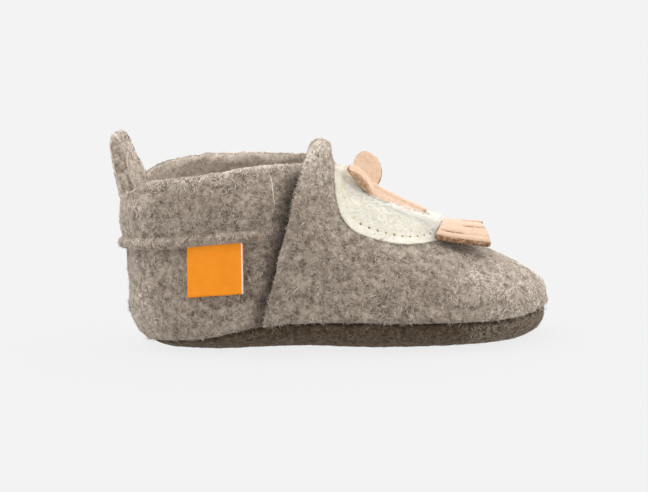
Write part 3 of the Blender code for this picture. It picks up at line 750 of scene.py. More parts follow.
def make_vamp():
    """The vamp, lapping over the quarter at its back edge, with its own thickness all round."""
    first = turn_of(LAP_STATION + np.array(LAP_STEPS))
    turns = np.concatenate([first[:-1], np.linspace(first[-1], np.pi, VAMP_COLUMNS_COUNT)])
    from_lap = station_of(turns) - LAP_STATION
    low = seam_rise(turns, GAP / 2)
    ways, from_seam = even_ways(turns, low, section_point, VAMP_OUTER_ROWS)
    column = turns[:, None]
    lap_full = edge_fullness(from_lap, EDGE_ROUND)[:, None]
    outer = vamp_thickness(column)
    under = LAP_UNDER * smooth_step((LAP_UNDER_END - from_lap) / LAP_UNDER_FADE)[:, None]
    middle = (outer + under) / 2
    base = section_point(column, ways, low[:, None], np.zeros_like(ways))
    flat = 1 - smooth_step((base[..., 2] - FLAT_BELOW) / FLAT_FADE)
    lap_swell = LAP_BULGE * bell(from_lap - LAP_BULGE_AT, LAP_BULGE_WIDTH)[:, None] * (1 - flat)
    height = outer - LAP_FLATTER * (outer - FELT) * flat + (seam_swell(from_seam) + lap_swell)
    height = height + layered(base, FELT_LAYERS, 11) + creases(base, ways < 0)
    full = edge_fullness(from_seam, EDGE_ROUND) * lap_full
    outside = section_point(column, ways, low[:, None], middle + (height - middle) * full)
    back_ways = thin_out(ways, VAMP_INNER_ROWS)[:, ::-1]
    inner_full = edge_fullness(thin_out(from_seam, VAMP_INNER_ROWS)[:, ::-1], EDGE_ROUND) * lap_full
    inside = section_point(column, back_ways, low[:, None], middle + (under - middle) * inner_full)
    grid = np.concatenate([outside, inside], axis=1)
    wave = LAP_WAVE * lumps(grid[0], LAP_WAVE_SIZE, 21)
    grid[..., 0] += np.exp(-from_lap / LAP_WAVE_FADE)[:, None] * wave
    apex = bell(np.concatenate([ways, back_ways], axis=1), APEX_WIDTH)
    apex = apex * np.exp(-from_lap / APEX_FADE)[:, None]
    grid[..., 0] += APEX_FORWARD * apex
    grid[..., 2] -= APEX_DROP * apex
    # The vamp's inside takes the paler felt, whose paleness is painted light
    slots = np.zeros((1, grid.shape[1]), int)
    slots[:, VAMP_OUTER_ROWS:] = 1
    tube = make_tube("vamp", grid, [wool_base, wool_pale_and_painted_light], slots, caps=(False, False))
    return place(tube, "wool_felt", "upper")


CREASE_COLUMNS = ("outer_side", "x0", "z0", "x1", "z1", "width", "depth")
CREASE_ROWS = (
    (True, 58.0, 40.0, 70.0, 24.0, 5.0, -0.5),
    (True, 66.0, 36.0, 80.0, 22.0, 6.0, 0.35),
    (True, 72.0, 18.0, 96.0, 15.0, 5.0, -0.35),
    (False, 57.0, 38.0, 72.0, 22.0, 6.0, -0.5),
    (False, 74.0, 20.0, 98.0, 15.0, 5.0, -0.3),
)


def creases(points, outer_side):
    """Soft troughs and ridges where the felt has bent, in the shoe's own sizes."""
    total = np.zeros(points.shape[:-1])
    for row in CREASE_ROWS:
        crease = dict(zip(CREASE_COLUMNS, row))
        start = np.array([crease["x0"], crease["z0"]])
        run = np.array([crease["x1"], crease["z1"]]) - start
        at = points[..., [0, 2]] - start
        share = np.clip(at @ run / (run @ run), 0, 1)
        away = np.linalg.norm(at - share[..., None] * run, axis=-1)
        here = outer_side if crease["outer_side"] else ~outer_side
        total += here * crease["depth"] * bell(away, crease["width"])
    return total


QUARTER_COLUMNS_COUNT = 150
QUARTER_FRONT = LAP_STATION + 3.0
LAP_SINK, LAP_SINK_OVER = 1.1, 14.0
# Where the vamp presses on the quarter: how much of its fullness is left, how far back it begins
PRESSED, PRESS_FROM, PRESS_OVER = 0.15, 1.0, 8.0
LINING_END, HEM_GAP, CUFF_FROM = 0.25, 0.6, 5.4
OUTSIDE_OVER, LINING_WITHIN, LINING_LUMPS = 1.5, 0.2, 0.6
# The rim's uneven height: long waves, and ripples, deeper on the inner side than on the outer
RIM_SCALE, RIM_WAVE, RIM_WAVE_SIZE = 40, 0.55, 7.0
RIM_RIPPLES, RIM_RIPPLE_SIZE = (0.35, 0.12), 2.4
LOWER_ROWS, CUFF_ROWS, LINING_ROWS, RIM_STEPS = 50, 36, 34, 9
# The hem's roll: height above the hem line, and distance out from the quarter's felt
HEM_PROFILE = (
    (-0.30, 0.05), (-0.25, 0.9), (-0.05, 1.7), (0.45, 2.3), (1.2, 2.55), (2.0, 2.35), (2.7, 1.75),
    (3.2, 1.05), (3.7, 1.1), (4.5, 1.45),
)


def wall_runs(turns):
    """For each turn, rises up the wall and how far along it they are, from the seam to the rim."""
    along = np.stack([turns * RIM_SCALE, turns * 0, turns * 0], -1)
    ripple = np.where(turns < 0, *RIM_RIPPLES) * lumps(along, RIM_RIPPLE_SIZE, 6)
    wave = RIM_WAVE * lumps(along, RIM_WAVE_SIZE, 5) + ripple
    share = np.linspace(0, 1, SECTION_SAMPLES)
    low = seam_rise(np.abs(turns), GAP / 2)
    high = rise_at_height(turns, rim_height(turns) + wave)
    rises = low[:, None] + (high - low)[:, None] * share
    points = last_point(turns[:, None], rises)
    runs = np.cumsum(np.linalg.norm(np.diff(points, axis=1), axis=2), axis=1)
    return rises, np.concatenate([np.zeros((len(turns), 1)), runs], axis=1)


def quarter_profile(hem, total, free):
    """How far up the wall and how far out the felt goes: lining, wall, hem roll, cuff and rim fold.
    Where it isn't free it is pressed flat under the vamp."""
    top = total - RIM_ROUND
    press = PRESSED + (1 - PRESSED) * free
    sink = LAP_SINK * (1 - free)
    depth = FELT - sink
    lining = [(s, 0.0) for s in np.linspace(top, LINING_END, LINING_ROWS)]
    even = np.linspace(EDGE_STEPS[-1], hem - HEM_GAP, LOWER_ROWS)
    lower_runs = np.concatenate([EDGE_STEPS[1:-1], even])
    foot = edge_fullness(lower_runs, EDGE_ROUND)
    under = (FELT - sink * smooth_step(lower_runs / LAP_SINK_OVER)) / 2
    lower = list(zip(lower_runs, under + (under + seam_swell(lower_runs)) * foot))
    roll = [(hem + above, depth + out * press) for above, out in HEM_PROFILE]
    cuff_out = depth + (CUFF_OUTER - FELT) * press
    share = np.linspace(0, 1, CUFF_ROWS)
    cuff_runs = hem + CUFF_FROM + (top - hem - CUFF_FROM) * share
    cuff = list(zip(cuff_runs, cuff_out + CUFF_PUFF * free * np.sin(np.pi * share)))
    angles = np.linspace(0, np.pi, RIM_STEPS + 2)[1:-1]
    rim = [(top + RIM_ROUND * np.sin(a), cuff_out / 2 * (1 + np.cos(a))) for a in angles]
    return lining + lower + roll + cuff + rim


def make_quarter():
    """Quarter and folded cuff as one felt: up the lining, over the rim, down to the hem, in and down."""
    turns = np.linspace(-1, 1, QUARTER_COLUMNS_COUNT) * turn_of(QUARTER_FRONT)
    rises, runs = wall_runs(turns)
    free = smooth_step((LAP_STATION - PRESS_FROM - station_of(turns)) / PRESS_OVER)
    columns = []
    for k, turn in enumerate(turns):
        hem = np.interp(rise_at_height(turn, HEM(abs(turn))), rises[k], runs[k])
        columns.append(quarter_profile(hem, runs[k, -1], free[k]))
    profile = np.array(columns)
    at = np.array([np.interp(p[:, 0], runs[k], rises[k]) for k, p in enumerate(profile)])
    base = last_point(turns[:, None], at)
    out = profile[..., 1]
    outer_bump = layered(base, FELT_LAYERS, 31) * smooth_step(out / OUTSIDE_OVER)
    lining_bump = LINING_LUMPS * layered(base, FELT_LAYERS, 41) * (out < LINING_WITHIN)
    way = np.broadcast_to(turns[:, None], at.shape)
    grid = offset_point(way, at, out + (outer_bump + lining_bump))
    slots = np.zeros((1, grid.shape[1]), int)
    # The lining and the inner half of the rim take the paler felt, whose paleness is painted light
    slots[:, :LINING_ROWS] = 1
    slots[:, -(RIM_STEPS // 2):] = 1
    tube = make_tube("quarter_and_cuff", grid, [wool_quarter_painted_shade, wool_pale_and_painted_light], slots)
    return place(tube, "wool_felt", "collar_cuff")


vamp = make_vamp()
quarter = make_quarter()


# Sole and insole

SOLE_COLUMNS_COUNT = 120
SOLE_OUTER_ROWS = 96
SOLE_INNER_ROWS = 30
INSOLE_STEPS, INSOLE_ROWS = 80, 37
SOLE_EDGE_ROUND, SOLE_EDGE_MIDDLE, SOLE_INSIDE = 0.9, 0.5, 0.05
INSOLE_EDGE_SHARE = 0.35


def sole_point(turn, way, low, distance):
    """A point under the foot: way -1 at the outer seam, 0 under the middle, 1 at the inner seam."""
    rise = low - (low + np.pi / 2) * (1 - np.abs(way))
    return offset_point(np.where(way > 0, -turn, turn), rise, distance)


def make_sole():
    """The soft sole: its rim turns up to the seam, and heel and forefoot lie flat on the floor."""
    turns = np.linspace(turn_of(SEAM_ROWS[0][0] + GAP / 2), np.pi, SOLE_COLUMNS_COUNT)
    low = seam_rise(turns, -GAP / 2)
    ways, from_edge = even_ways(turns, low, sole_point, SOLE_OUTER_ROWS)
    column = turns[:, None]
    base = sole_point(column, ways, low[:, None], np.zeros_like(ways))
    share = np.clip((base[..., 2] - LAST_ROWS[3][4]) / SOLE_FELT, 0, 1)
    thick = SOLE_FELT * (1 - (1 - SOLE_RIM_SHARE) * share)
    rough = layered(base, SOLE_LAYERS, 51)
    full = edge_fullness(from_edge, SOLE_EDGE_ROUND)
    distance = SOLE_EDGE_MIDDLE + (thick - SOLE_EDGE_MIDDLE + rough) * full
    outside = sole_point(column, ways, low[:, None], distance)
    outside[..., 2] = np.maximum(outside[..., 2], 0)
    back_ways = thin_out(ways, SOLE_INNER_ROWS)[:, ::-1]
    inside = sole_point(column, back_ways, low[:, None], np.full_like(back_ways, SOLE_INSIDE))
    grid = np.concatenate([outside, inside], axis=1)
    return place(make_tube("sole_felt", grid, [sole_base]), "sole_felt", "sole")


def make_insole():
    """A felt insole on the sole, a little padded."""
    turns = np.linspace(turn_of(INSOLE_BACK), turn_of(INSOLE_FRONT), INSOLE_STEPS)
    across = np.linspace(-1, 1, INSOLE_ROWS)
    top, bottom = [], []
    for turn in turns:
        edge = last_point(turn, rise_at_height(turn, LAST["bottom"](turn) + INSOLE_EDGE_RISE))
        half = abs(edge[1] - LAST["drift"](turn))
        share = np.clip(np.abs(across * half) / LAST["half_width"](turn), 0, 1)
        rise = -np.arccos(share ** (LAST["base_power"](turn) / 2))
        side = np.where(across > 0, -turn, turn)
        base = last_point(side, rise)
        thick = INSOLE_FELT + layered(base, INSOLE_LAYERS, 61)
        full = edge_fullness((1 - np.abs(across)) * half, EDGE_ROUND)
        thick = thick * (INSOLE_EDGE_SHARE + (1 - INSOLE_EDGE_SHARE) * full)
        top.append(offset_point(side, rise, -GAP - thick))
        bottom.append(offset_point(side, rise, np.full(len(across), -GAP)))
    sheet = slab(np.array(top), np.array(bottom), 2, 0.1)
    return place(make_slabs("insole_felt", [sheet], [wool_pale_and_painted_light, wool_pale_and_painted_light]), "wool_felt", "insole")


sole = make_sole()
insole = make_insole()


# Pull tab

TAB_STEPS = 24
TAB_PROFILE_ROWS = 60
TAB_EDGE, TAB_EDGE_THINNER = 0.7, 0.35
TAB_EDGE_SHARES = (0.3, 0.6, 0.85, 1.0)
TAB_EDGE_FILLS = (0.4, 0.15, 0.0)
TAB_CORNER, TAB_CORNER_FROM, TAB_CORNER_OVER, TAB_CORNER_POWER = 1.5, 60.0, 6.0, 6
TAB_SOFTEN = 7
TAB_LUMPS, TAB_LUMP_SIZE = 0.18, 3.0


def tab_sides():
    """Steps across the tab: how far to a side, and how full its section is, less at the cut edges."""
    half = TAB_WIDTH / 2
    right = []
    for share in TAB_EDGE_SHARES:
        fill = 1 - TAB_EDGE_THINNER * (1 - np.cos(share * np.pi / 2))
        right.append((half - TAB_EDGE + TAB_EDGE * np.sin(share * np.pi / 2), fill))
    right += [(half, fill) for fill in TAB_EDGE_FILLS]
    left = [(-side, fill) for side, fill in right[::-1]]
    return left + [(side, 1.0) for side in np.linspace(-half + TAB_EDGE, half - TAB_EDGE, TAB_STEPS)] + right


def make_tab():
    """A folded strip of felt rising from the heel's rim, bowed, its cut edges flat and mottled."""
    rows = np.array(TAB_ROWS)
    run = np.concatenate([[0], np.cumsum(np.hypot(np.diff(rows[:, 0]), np.diff(rows[:, 1:3].mean(1))))])
    even = np.linspace(0, run[-1], TAB_PROFILE_ROWS)
    soften = np.hanning(TAB_SOFTEN) / np.hanning(TAB_SOFTEN).sum()
    part = {}
    for k, name in enumerate(TAB_COLUMNS):
        values = np.interp(even, run, rows[:, k])
        smooth = np.convolve(np.pad(values, TAB_SOFTEN // 2, mode="edge"), soften, "valid")
        part[name] = values if name == "height" else smooth
    ring = {name: np.concatenate([values, values[::-1]]) for name, values in part.items()}
    middle = (ring["back"] + ring["front"]) / 2
    face = np.concatenate([part["back"], part["front"][::-1]])
    sides = tab_sides()
    grid = []
    for side, fill in sides:
        share = 2 * side / TAB_WIDTH
        x = middle + (face - middle) * fill + ring["bow"] * share ** 2 + ring["twist"] * share
        high = smooth_step((ring["height"] - TAB_CORNER_FROM) / TAB_CORNER_OVER)
        drop = TAB_CORNER * share ** TAB_CORNER_POWER * high
        grid.append(np.stack([x, np.full_like(x, side), ring["height"] - drop], -1))
    grid = np.array(grid)
    grid += TAB_LUMPS * np.stack([lumps(grid, TAB_LUMP_SIZE, 71 + k) for k in range(3)], -1)
    cut = len(TAB_EDGE_FILLS) + len(TAB_EDGE_SHARES) - 2
    slots = np.zeros((len(sides) - 1, 1), int)
    slots[:cut] = 1
    slots[-cut:] = 1
    tube = make_tube("pull_tab_felt", grid, [wool_pale_and_painted_light, wool_cut], slots, caps=(False, False))
    return place(tube, "wool_felt", "pull_tab")


tab = make_tab()


# Patch

PATCH_STEPS, PATCH_ROWS = 90, 61
OUTLINE_SAMPLES, OUTLINE_PITCH = 400, 0.25
PATCH_END = 0.004
PATCH_SINK, PATCH_LEAST = 0.1, 0.4
# The puff towards the fringe: how much, from where, over what length and how far to a side
FRONT_PUFF, FRONT_PUFF_X, FRONT_PUFF_OVER, FRONT_PUFF_SIDE = 7.0, 82.0, 8.0, 9.0
PUFF_FROM, PUFF_OVER = 1.0, 8.0
# Tufts behind the ears and at the nose: how high, where along the ridge, and their half length and width
TUFT_ROWS = ((2.4, 68.3, 2.8, 7.0), (1.2, 92.3, 2.2, 8.5))
TUFT_INSIDE = 2.0
BACK_LIFT, BACK_REACH, BACK_HALF_WIDTH = 3.2, 4.5, 7.0
BACK_EDGE_SHARE, BACK_EDGE_OVER = 0.1, 1.2
GROOVE, GROOVE_WIDTH = 0.08, 0.7
EAR_DENT, EAR_DENT_SIDE, EAR_DENT_SHAPE = 0.2, -5.0, (74.0, 4.0, 3.5)
# Low ridges along the face, and how far past its ends they start and stop
RIDGE_LIFT, RIDGE_WIDTH, RIDGE_OFF = 0.8, 3.4, 0.9
RIDGE_START, RIDGE_START_OVER, RIDGE_STOP, RIDGE_STOP_OVER = 3.0, 5.0, 2.0, 3.0
# Under the fringe the patch is pressed down, and more so towards its front end
COVER_FROM, COVER_OVER, COVER_GAP = 0.2, 1.2, 0.2
TUCK_DEPTH, TUCK_FROM, TUCK_OVER = 1.0, 96.0, 2.0
PATCH_LUMPS, PATCH_LUMP_SIZE, PATCH_LUMPS_OVER = 0.25, 4.0, 4.0
PATCH_RAGGED, PATCH_RAGGED_SIZE, PATCH_RAGGED_WITHIN = 0.12, 1.5, 0.6
STITCH_STOP, STITCH_LONGEST = 0.5, 1.5
HOLE_RADIUS, HOLE_RIM, HOLE_TOP, HOLE_BOTTOM = 0.34, 0.05, 0.16, -0.25
HOLES_SHOW_FROM = 70.0
THREAD_RADIUS, THREAD_ARCH, THREAD_SINK = 0.15, 0.16, 0.2
THREAD_SHARES = np.linspace(0.08, 0.92, 6)
RING_SIDES = 8


def patch_half_width(x):
    """Half the patch's width where it is x along the ridge."""
    ahead = x > PATCH_MIDDLE
    length = np.where(ahead, PATCH_FRONT - PATCH_MIDDLE, PATCH_MIDDLE - PATCH_BACK)
    power = np.where(ahead, PATCH_FRONT_POWER, PATCH_BACK_POWER)
    share = np.clip(np.abs(x - PATCH_MIDDLE) / length, 0, 1)
    return PATCH_HALF_WIDTH * (1 - share ** power) ** (1 / power)


def spaced(line, pitch):
    """Points about that far apart round a closed line."""
    closed = np.concatenate([line, line[:1]])
    run = np.concatenate([[0], np.cumsum(np.linalg.norm(np.diff(closed, axis=0), axis=1))])
    marks = np.linspace(0, run[-1], int(round(run[-1] / pitch)), endpoint=False)
    return np.stack([np.interp(marks, run, closed[:, k]) for k in range(2)], -1)


def patch_stations(count, short=0.0):
    """Places along the patch, closer together at its ends, which they may stop short of."""
    angle = np.linspace(short, np.pi - short, count)
    return PATCH_BACK + (PATCH_FRONT - PATCH_BACK) * (1 - np.cos(angle)) / 2


def patch_outline():
    """Points round the patch's outline, along the ridge and across it."""
    x = patch_stations(OUTLINE_SAMPLES)
    half = patch_half_width(x)
    line = np.concatenate([np.stack([x, half], -1), np.stack([x, -half], -1)[-2:0:-1]])
    return spaced(line, OUTLINE_PITCH)


OUTLINE = patch_outline()


def from_outline(x, side):
    """How far points are inside the patch's outline."""
    flat = np.stack([np.ravel(x), np.ravel(side)], -1)
    return np.min(np.linalg.norm(flat[:, None] - OUTLINE[None], axis=-1), axis=1).reshape(np.shape(x))


def fringe_back(side):
    """Where the fringe starts along the ridge."""
    return FRINGE_BACK - FRINGE_SWEEP * (side / FRINGE_HALF_WIDTH) ** 2


def fringe_root_lift(side):
    return FRINGE_ROOT_LIFT - FRINGE_ROOT_DROOP * (side / FRINGE_HALF_WIDTH) ** 2


def mound(x, side, middle, length, half_width):
    """A mound on the ridge, 1 at its middle."""
    return bell(x - middle, length) * bell(side, half_width)


def patch_lift(inside, x, side):
    """How high the patch's top is off the vamp: thin at its edge, puffed in the middle and up to the
    fringe, with tufts behind the ears and at the nose and low ridges along the face."""
    front = smooth_step((x - FRONT_PUFF_X) / FRONT_PUFF_OVER) * bell(side, FRONT_PUFF_SIDE)
    puff = smooth_step((inside + FRONT_PUFF * front - PUFF_FROM) / PUFF_OVER)
    rise = PATCH_EDGE_LIFT + (PATCH_LIFT - PATCH_EDGE_LIFT) * puff
    back = mound(x, side, PATCH_BACK, BACK_REACH, BACK_HALF_WIDTH)
    back_share = BACK_EDGE_SHARE + (1 - BACK_EDGE_SHARE) * smooth_step(inside / BACK_EDGE_OVER)
    rise = rise + (BACK_LIFT * back_share - rise) * back
    groove = GROOVE * bell(inside - STITCH_INSET, GROOVE_WIDTH)
    dent = EAR_DENT * mound(x, side - EAR_DENT_SIDE, *EAR_DENT_SHAPE)
    along = np.clip((x - FACE_BACK) / (FACE_FRONT - FACE_BACK), 0, 1)
    face_half = FACE_HALF_WIDTH * (1 + (FACE_NOSE_SHARE - 1) * along)
    ridge = bell(np.abs(side) - face_half - RIDGE_OFF, RIDGE_WIDTH)
    ridge = ridge * smooth_step((x - FACE_BACK + RIDGE_START) / RIDGE_START_OVER)
    ridge = ridge * smooth_step((FACE_FRONT + RIDGE_STOP - x) / RIDGE_STOP_OVER)
    tufts = sum(lift * mound(x, side, *shape) for lift, *shape in TUFT_ROWS) + RIDGE_LIFT * ridge
    open_lift = rise - groove - dent + tufts * smooth_step(inside / TUFT_INSIDE)
    covered = smooth_step((x - fringe_back(side) - COVER_FROM) / COVER_OVER)
    tuck = TUCK_DEPTH * smooth_step((x - TUCK_FROM) / TUCK_OVER)
    under = np.minimum(open_lift, fringe_root_lift(side) - COVER_GAP) - tuck
    return open_lift + (np.maximum(under, PATCH_LEAST) - open_lift) * covered


def patch_softness(inside, flat):
    """The patch's soft unevenness."""
    return PATCH_LUMPS * lumps(flat, PATCH_LUMP_SIZE, 82) * smooth_step(inside / PATCH_LUMPS_OVER)


def make_patch():
    """The cream felt oval, thin at its edge and puffed under the leather."""
    x = patch_stations(PATCH_STEPS, PATCH_END)
    spread = np.sin(np.linspace(-np.pi / 2, np.pi / 2, PATCH_ROWS))
    xs, sides = np.broadcast_arrays(x[:, None], patch_half_width(x)[:, None] * spread)
    inside = from_outline(xs, sides)
    flat = np.stack([xs, sides, np.zeros_like(xs)], -1)
    ragged = PATCH_RAGGED * lumps(flat, PATCH_RAGGED_SIZE, 81) * (inside < PATCH_RAGGED_WITHIN)
    top = on_vamp(xs, sides, patch_lift(inside, xs, sides) + patch_softness(inside, flat) + ragged)
    bottom = on_vamp(xs, sides, np.full_like(xs, -PATCH_SINK))
    sheet = slab(top, bottom, 3, 0.15)
    return place(make_slabs("patch_felt", [sheet], [cream_base, cream_base]), "cream_felt", "patch")


def tube_rings(path, radius, sides):
    """Rings of points round a path."""
    along = np.gradient(path, axis=0)
    along /= np.linalg.norm(along, axis=1, keepdims=True)
    across = np.cross(along, [0.0, 0.0, 1.0])
    across /= np.linalg.norm(across, axis=1, keepdims=True)
    up = np.cross(across, along)
    angle = np.linspace(0, 2 * np.pi, sides, endpoint=False)
    ring = np.cos(angle)[:, None, None] * across + np.sin(angle)[:, None, None] * up
    return (path + radius * ring).transpose(1, 0, 2)


def make_stitches():
    """The seam round the patch: a needle hole at each stitch, a small dark cone whose colour is painted shade
    where it shows, and the thread sunk between them.
    """
    along = np.roll(OUTLINE, -1, 0) - np.roll(OUTLINE, 1, 0)
    inward = np.stack([-along[:, 1], along[:, 0]], -1) / np.linalg.norm(along, axis=1, keepdims=True)
    middle = np.array([PATCH_MIDDLE, 0.0])
    inward *= np.sign(np.sum(inward * (middle - OUTLINE), -1, keepdims=True))
    marks = spaced(OUTLINE + STITCH_INSET * inward, STITCH_PITCH)
    marks = marks[marks[:, 0] < fringe_back(marks[:, 1]) - STITCH_STOP]

    def over(at, lift):
        inside = np.full(len(at), STITCH_INSET)
        soft = patch_softness(inside, np.pad(at, ((0, 0), (0, 1))))
        return on_vamp(at[:, 0], at[:, 1], patch_lift(inside, at[:, 0], at[:, 1]) + soft + lift)

    points, faces, slots = [], [], []
    count = 0
    angle = np.linspace(0, 2 * np.pi, RING_SIDES, endpoint=False)
    ring_x, ring_side = HOLE_RADIUS * np.cos(angle), HOLE_RADIUS * np.sin(angle)
    for mark in marks:
        ring = over(mark + np.stack([ring_x, ring_side], -1), HOLE_RIM)
        points += [ring, over(mark[None], HOLE_TOP), over(mark[None], HOLE_BOTTOM)]
        for k in range(RING_SIDES):
            n = (k + 1) % RING_SIDES
            faces.append((count + k, count + n, count + RING_SIDES))
            faces.append((count + n, count + k, count + RING_SIDES + 1))
            # Holes past HOLES_SHOW_FROM take the painted shade, the others the thread's colour
            slots += [0, 0] if mark[0] > HOLES_SHOW_FROM else [1, 1]
        count += RING_SIDES + 2
    arch = THREAD_ARCH * np.sin(np.pi * THREAD_SHARES) - THREAD_SINK
    for start, end in zip(marks, np.roll(marks, -1, 0)):
        if np.linalg.norm(end - start) > STITCH_LONGEST * STITCH_PITCH:
            continue
        path = over(start + THREAD_SHARES[:, None] * (end - start), arch)
        rings = tube_rings(path, THREAD_RADIUS, RING_SIDES)
        points.append(rings.reshape(-1, 3))
        faces += [tuple(quad) for quad in grid_faces(len(path), RING_SIDES, True, count)[0]]
        for ring in (0, len(path) - 1):
            faces.append(tuple(count + ring * RING_SIDES + np.arange(RING_SIDES)))
        slots += [1] * ((len(path) - 1) * RING_SIDES + 2)
        count += len(path) * RING_SIDES
    piece = make_mesh("patch_stitches", np.concatenate(points), faces, [stitch_hole_painted_shade, cream_thread], slots)
    return place(piece, "cream_felt")


patch = make_patch()
make_stitches()


# Leather head, fringe and ribbon label

CUT_ROUNDING = (0.22, 0.06)
HEAD_STEPS, HEAD_ROWS, EAR_STEPS, EAR_ROWS_ACROSS = 60, 33, 48, 27
FRINGE_STEPS, STRIP_ROWS = 46, 13
FACE_ROUND, FACE_ROUND_POWER = 0.97, 8
FACE_FOLD_OVER = 0.7
EAR_LEAST = 0.02
FRINGE_BEVEL, FRINGE_BEVEL_REACH = 1.0, 2.0
SLIT_OPENS, SLIT_CLOSES, SLIT_ROUND = 2.0, 1.5, 0.2
# How much the fringe's strips differ in length and in lift, and how that changes from one to the next
STRIP_LENGTHS, STRIP_LIFTS = (0.2, 1.9, 0.5), (0.2, 2.1, 0.4)


def make_face():
    """The face: a strip that tapers to the nose and droops at its sides, with a fold near its crest."""
    share = np.sin(np.linspace(0, np.pi / 2, HEAD_STEPS))
    half = FACE_HALF_WIDTH * (1 + (FACE_NOSE_SHARE - 1) * share)
    half = half * np.sqrt(1 - FACE_ROUND * share ** FACE_ROUND_POWER)
    x = FACE_BACK + (FACE_FRONT - FACE_BACK) * share
    xs, sides = np.broadcast_arrays(x[:, None], half[:, None] * np.linspace(-1, 1, HEAD_ROWS))
    along = np.broadcast_to(share[:, None], xs.shape)
    lift = FACE_BACK_LIFT + (FACE_NOSE_LIFT - FACE_BACK_LIFT) * along
    lift = lift - FACE_DROOP * (sides / FACE_HALF_WIDTH) ** 2
    crest = FACE_FOLD * smooth_step((sides - FACE_FOLD_SIDE) / FACE_FOLD_OVER)
    top = on_vamp(xs, sides, lift + HEAD_LEATHER + crest)
    return slab(top, on_vamp(xs, sides, lift), 5, 0.2, CUT_ROUNDING)


def make_ear(ear):
    """An oval ear on a narrow neck. One of its long edges may fold over and show its flesh side."""
    root = on_vamp([ear["x"]], [ear["side"]], np.array([ear["lift"]]))[0]
    along = np.array(ear["along"]) / np.linalg.norm(ear["along"])
    upward = np.array(ear["upward"]) - along * (along @ np.array(ear["upward"]))
    upward /= np.linalg.norm(upward)
    facing = np.cross(upward, along)
    share = np.sin(np.linspace(0, np.pi / 2, EAR_STEPS))
    oval = np.clip((share * EAR_LENGTH - EAR_NECK) / (EAR_LENGTH - EAR_NECK), 0, 1)
    half = ear["half_width"] * np.sqrt(1 - (2 * oval - 1) ** 2)
    half = np.maximum(half, EAR_NECK_HALF * (oval < 0.5)) + EAR_LEAST
    line = root + np.outer(EAR_LENGTH * share, along) + np.outer(EAR_CURL * share ** 2, facing)
    width = half[:, None] * np.linspace(-1, 1, EAR_ROWS_ACROSS)
    bent = np.clip((width - ear["fold_from"]) / EAR_FOLD_RADIUS, 0, ear["fold_turn"])
    beyond = np.maximum(width - ear["fold_from"] - EAR_FOLD_RADIUS * ear["fold_turn"], 0)
    rise = -np.minimum(width, ear["fold_from"]) - EAR_FOLD_RADIUS * np.sin(bent) - beyond * np.cos(bent)
    out = EAR_FOLD_RADIUS * (1 - np.cos(bent)) + beyond * np.sin(bent)
    middle = line[:, None] + rise[..., None] * upward + out[..., None] * facing
    grain = np.sin(bent)[..., None] * upward + np.cos(bent)[..., None] * facing
    half_leather = EAR_LEATHER / 2 * grain
    # The ear's top takes the paler leather, which is painted light
    slots = np.full((EAR_STEPS - 1, EAR_ROWS_ACROSS - 1), 3)
    return slab(middle + half_leather, middle - half_leather, 5, 0.15, CUT_ROUNDING, slots, under=2)


def make_head():
    ears = [make_ear(dict(zip(EAR_COLUMNS, row))) for row in EAR_ROWS]
    materials = [leather_top, leather_edge, leather_flesh, leather_ear_painted_light]
    piece = make_slabs("leather_head", [make_face(), *ears], materials)
    return place(piece, "tan_leather", "leather_face")


def slit_width(slit, along):
    """How wide a slit is open at distances from the fringe's root."""
    _, start, end = slit
    return FRINGE_SLIT * smooth_step((along - start) / SLIT_OPENS) * smooth_step((end - along) / SLIT_CLOSES)


def strip_varies(strip, size, turn, start):
    """A small difference for each strip of the fringe."""
    return size * np.sin(strip * turn + start)


def make_fringe():
    """Strips of leather ahead of the patch, joined at their root and lifting off the vamp."""
    cuts = [(-FRINGE_HALF_WIDTH, PAST, PAST), *FRINGE_SLITS, (FRINGE_HALF_WIDTH, PAST, PAST)]
    along = np.linspace(0, 1, FRINGE_STEPS)[:, None]
    distance = along * FRINGE_LENGTH
    sheets = []
    for strip, (left, right) in enumerate(zip(cuts, cuts[1:])):
        low = left[0] + slit_width(left, distance) / 2
        high = right[0] - slit_width(right, distance) / 2
        across = np.linspace(0, 1, STRIP_ROWS)
        sides = low + (high - low) * across
        part = sides / FRINGE_HALF_WIDTH
        back = fringe_back(sides)
        tip = FRINGE_BACK + FRINGE_LENGTH + FRINGE_TIP_SWEEP * part ** 2 + strip_varies(strip, *STRIP_LENGTHS)
        xs = back + (tip - back) * along
        ripple = strip_varies(strip, *STRIP_LIFTS) * along ** 2
        curl = FRINGE_CURL * slit_width(left, distance) / FRINGE_SLIT * (1 - across) ** 2
        lift = fringe_root_lift(sides) + FRINGE_RISE * along ** FRINGE_RISE_POWER + ripple + curl
        top = on_vamp(xs, sides, lift + LEATHER)
        open_share = np.ones((FRINGE_STEPS, STRIP_ROWS))
        for edge, cut in ((slice(0, 2), left), (slice(-2, None), right)):
            if cut in FRINGE_SLITS:
                open_share[:-2, edge] = smooth_step(slit_width(cut, distance[:-2]) / SLIT_ROUND)
        beside = (-sides - FRINGE_HALF_WIDTH + FRINGE_BEVEL_REACH) / FRINGE_BEVEL_REACH
        bevel = FRINGE_BEVEL * smooth_step(beside)
        bottom = on_vamp(xs, sides - bevel, lift)
        sheets.append(slab(top, bottom, 6, 0.2, CUT_ROUNDING, None, open_share, 1))
    piece = make_slabs("leather_fringe_strips", sheets, [leather_top, leather_edge])
    return place(piece, "tan_leather", "leather_fringe")


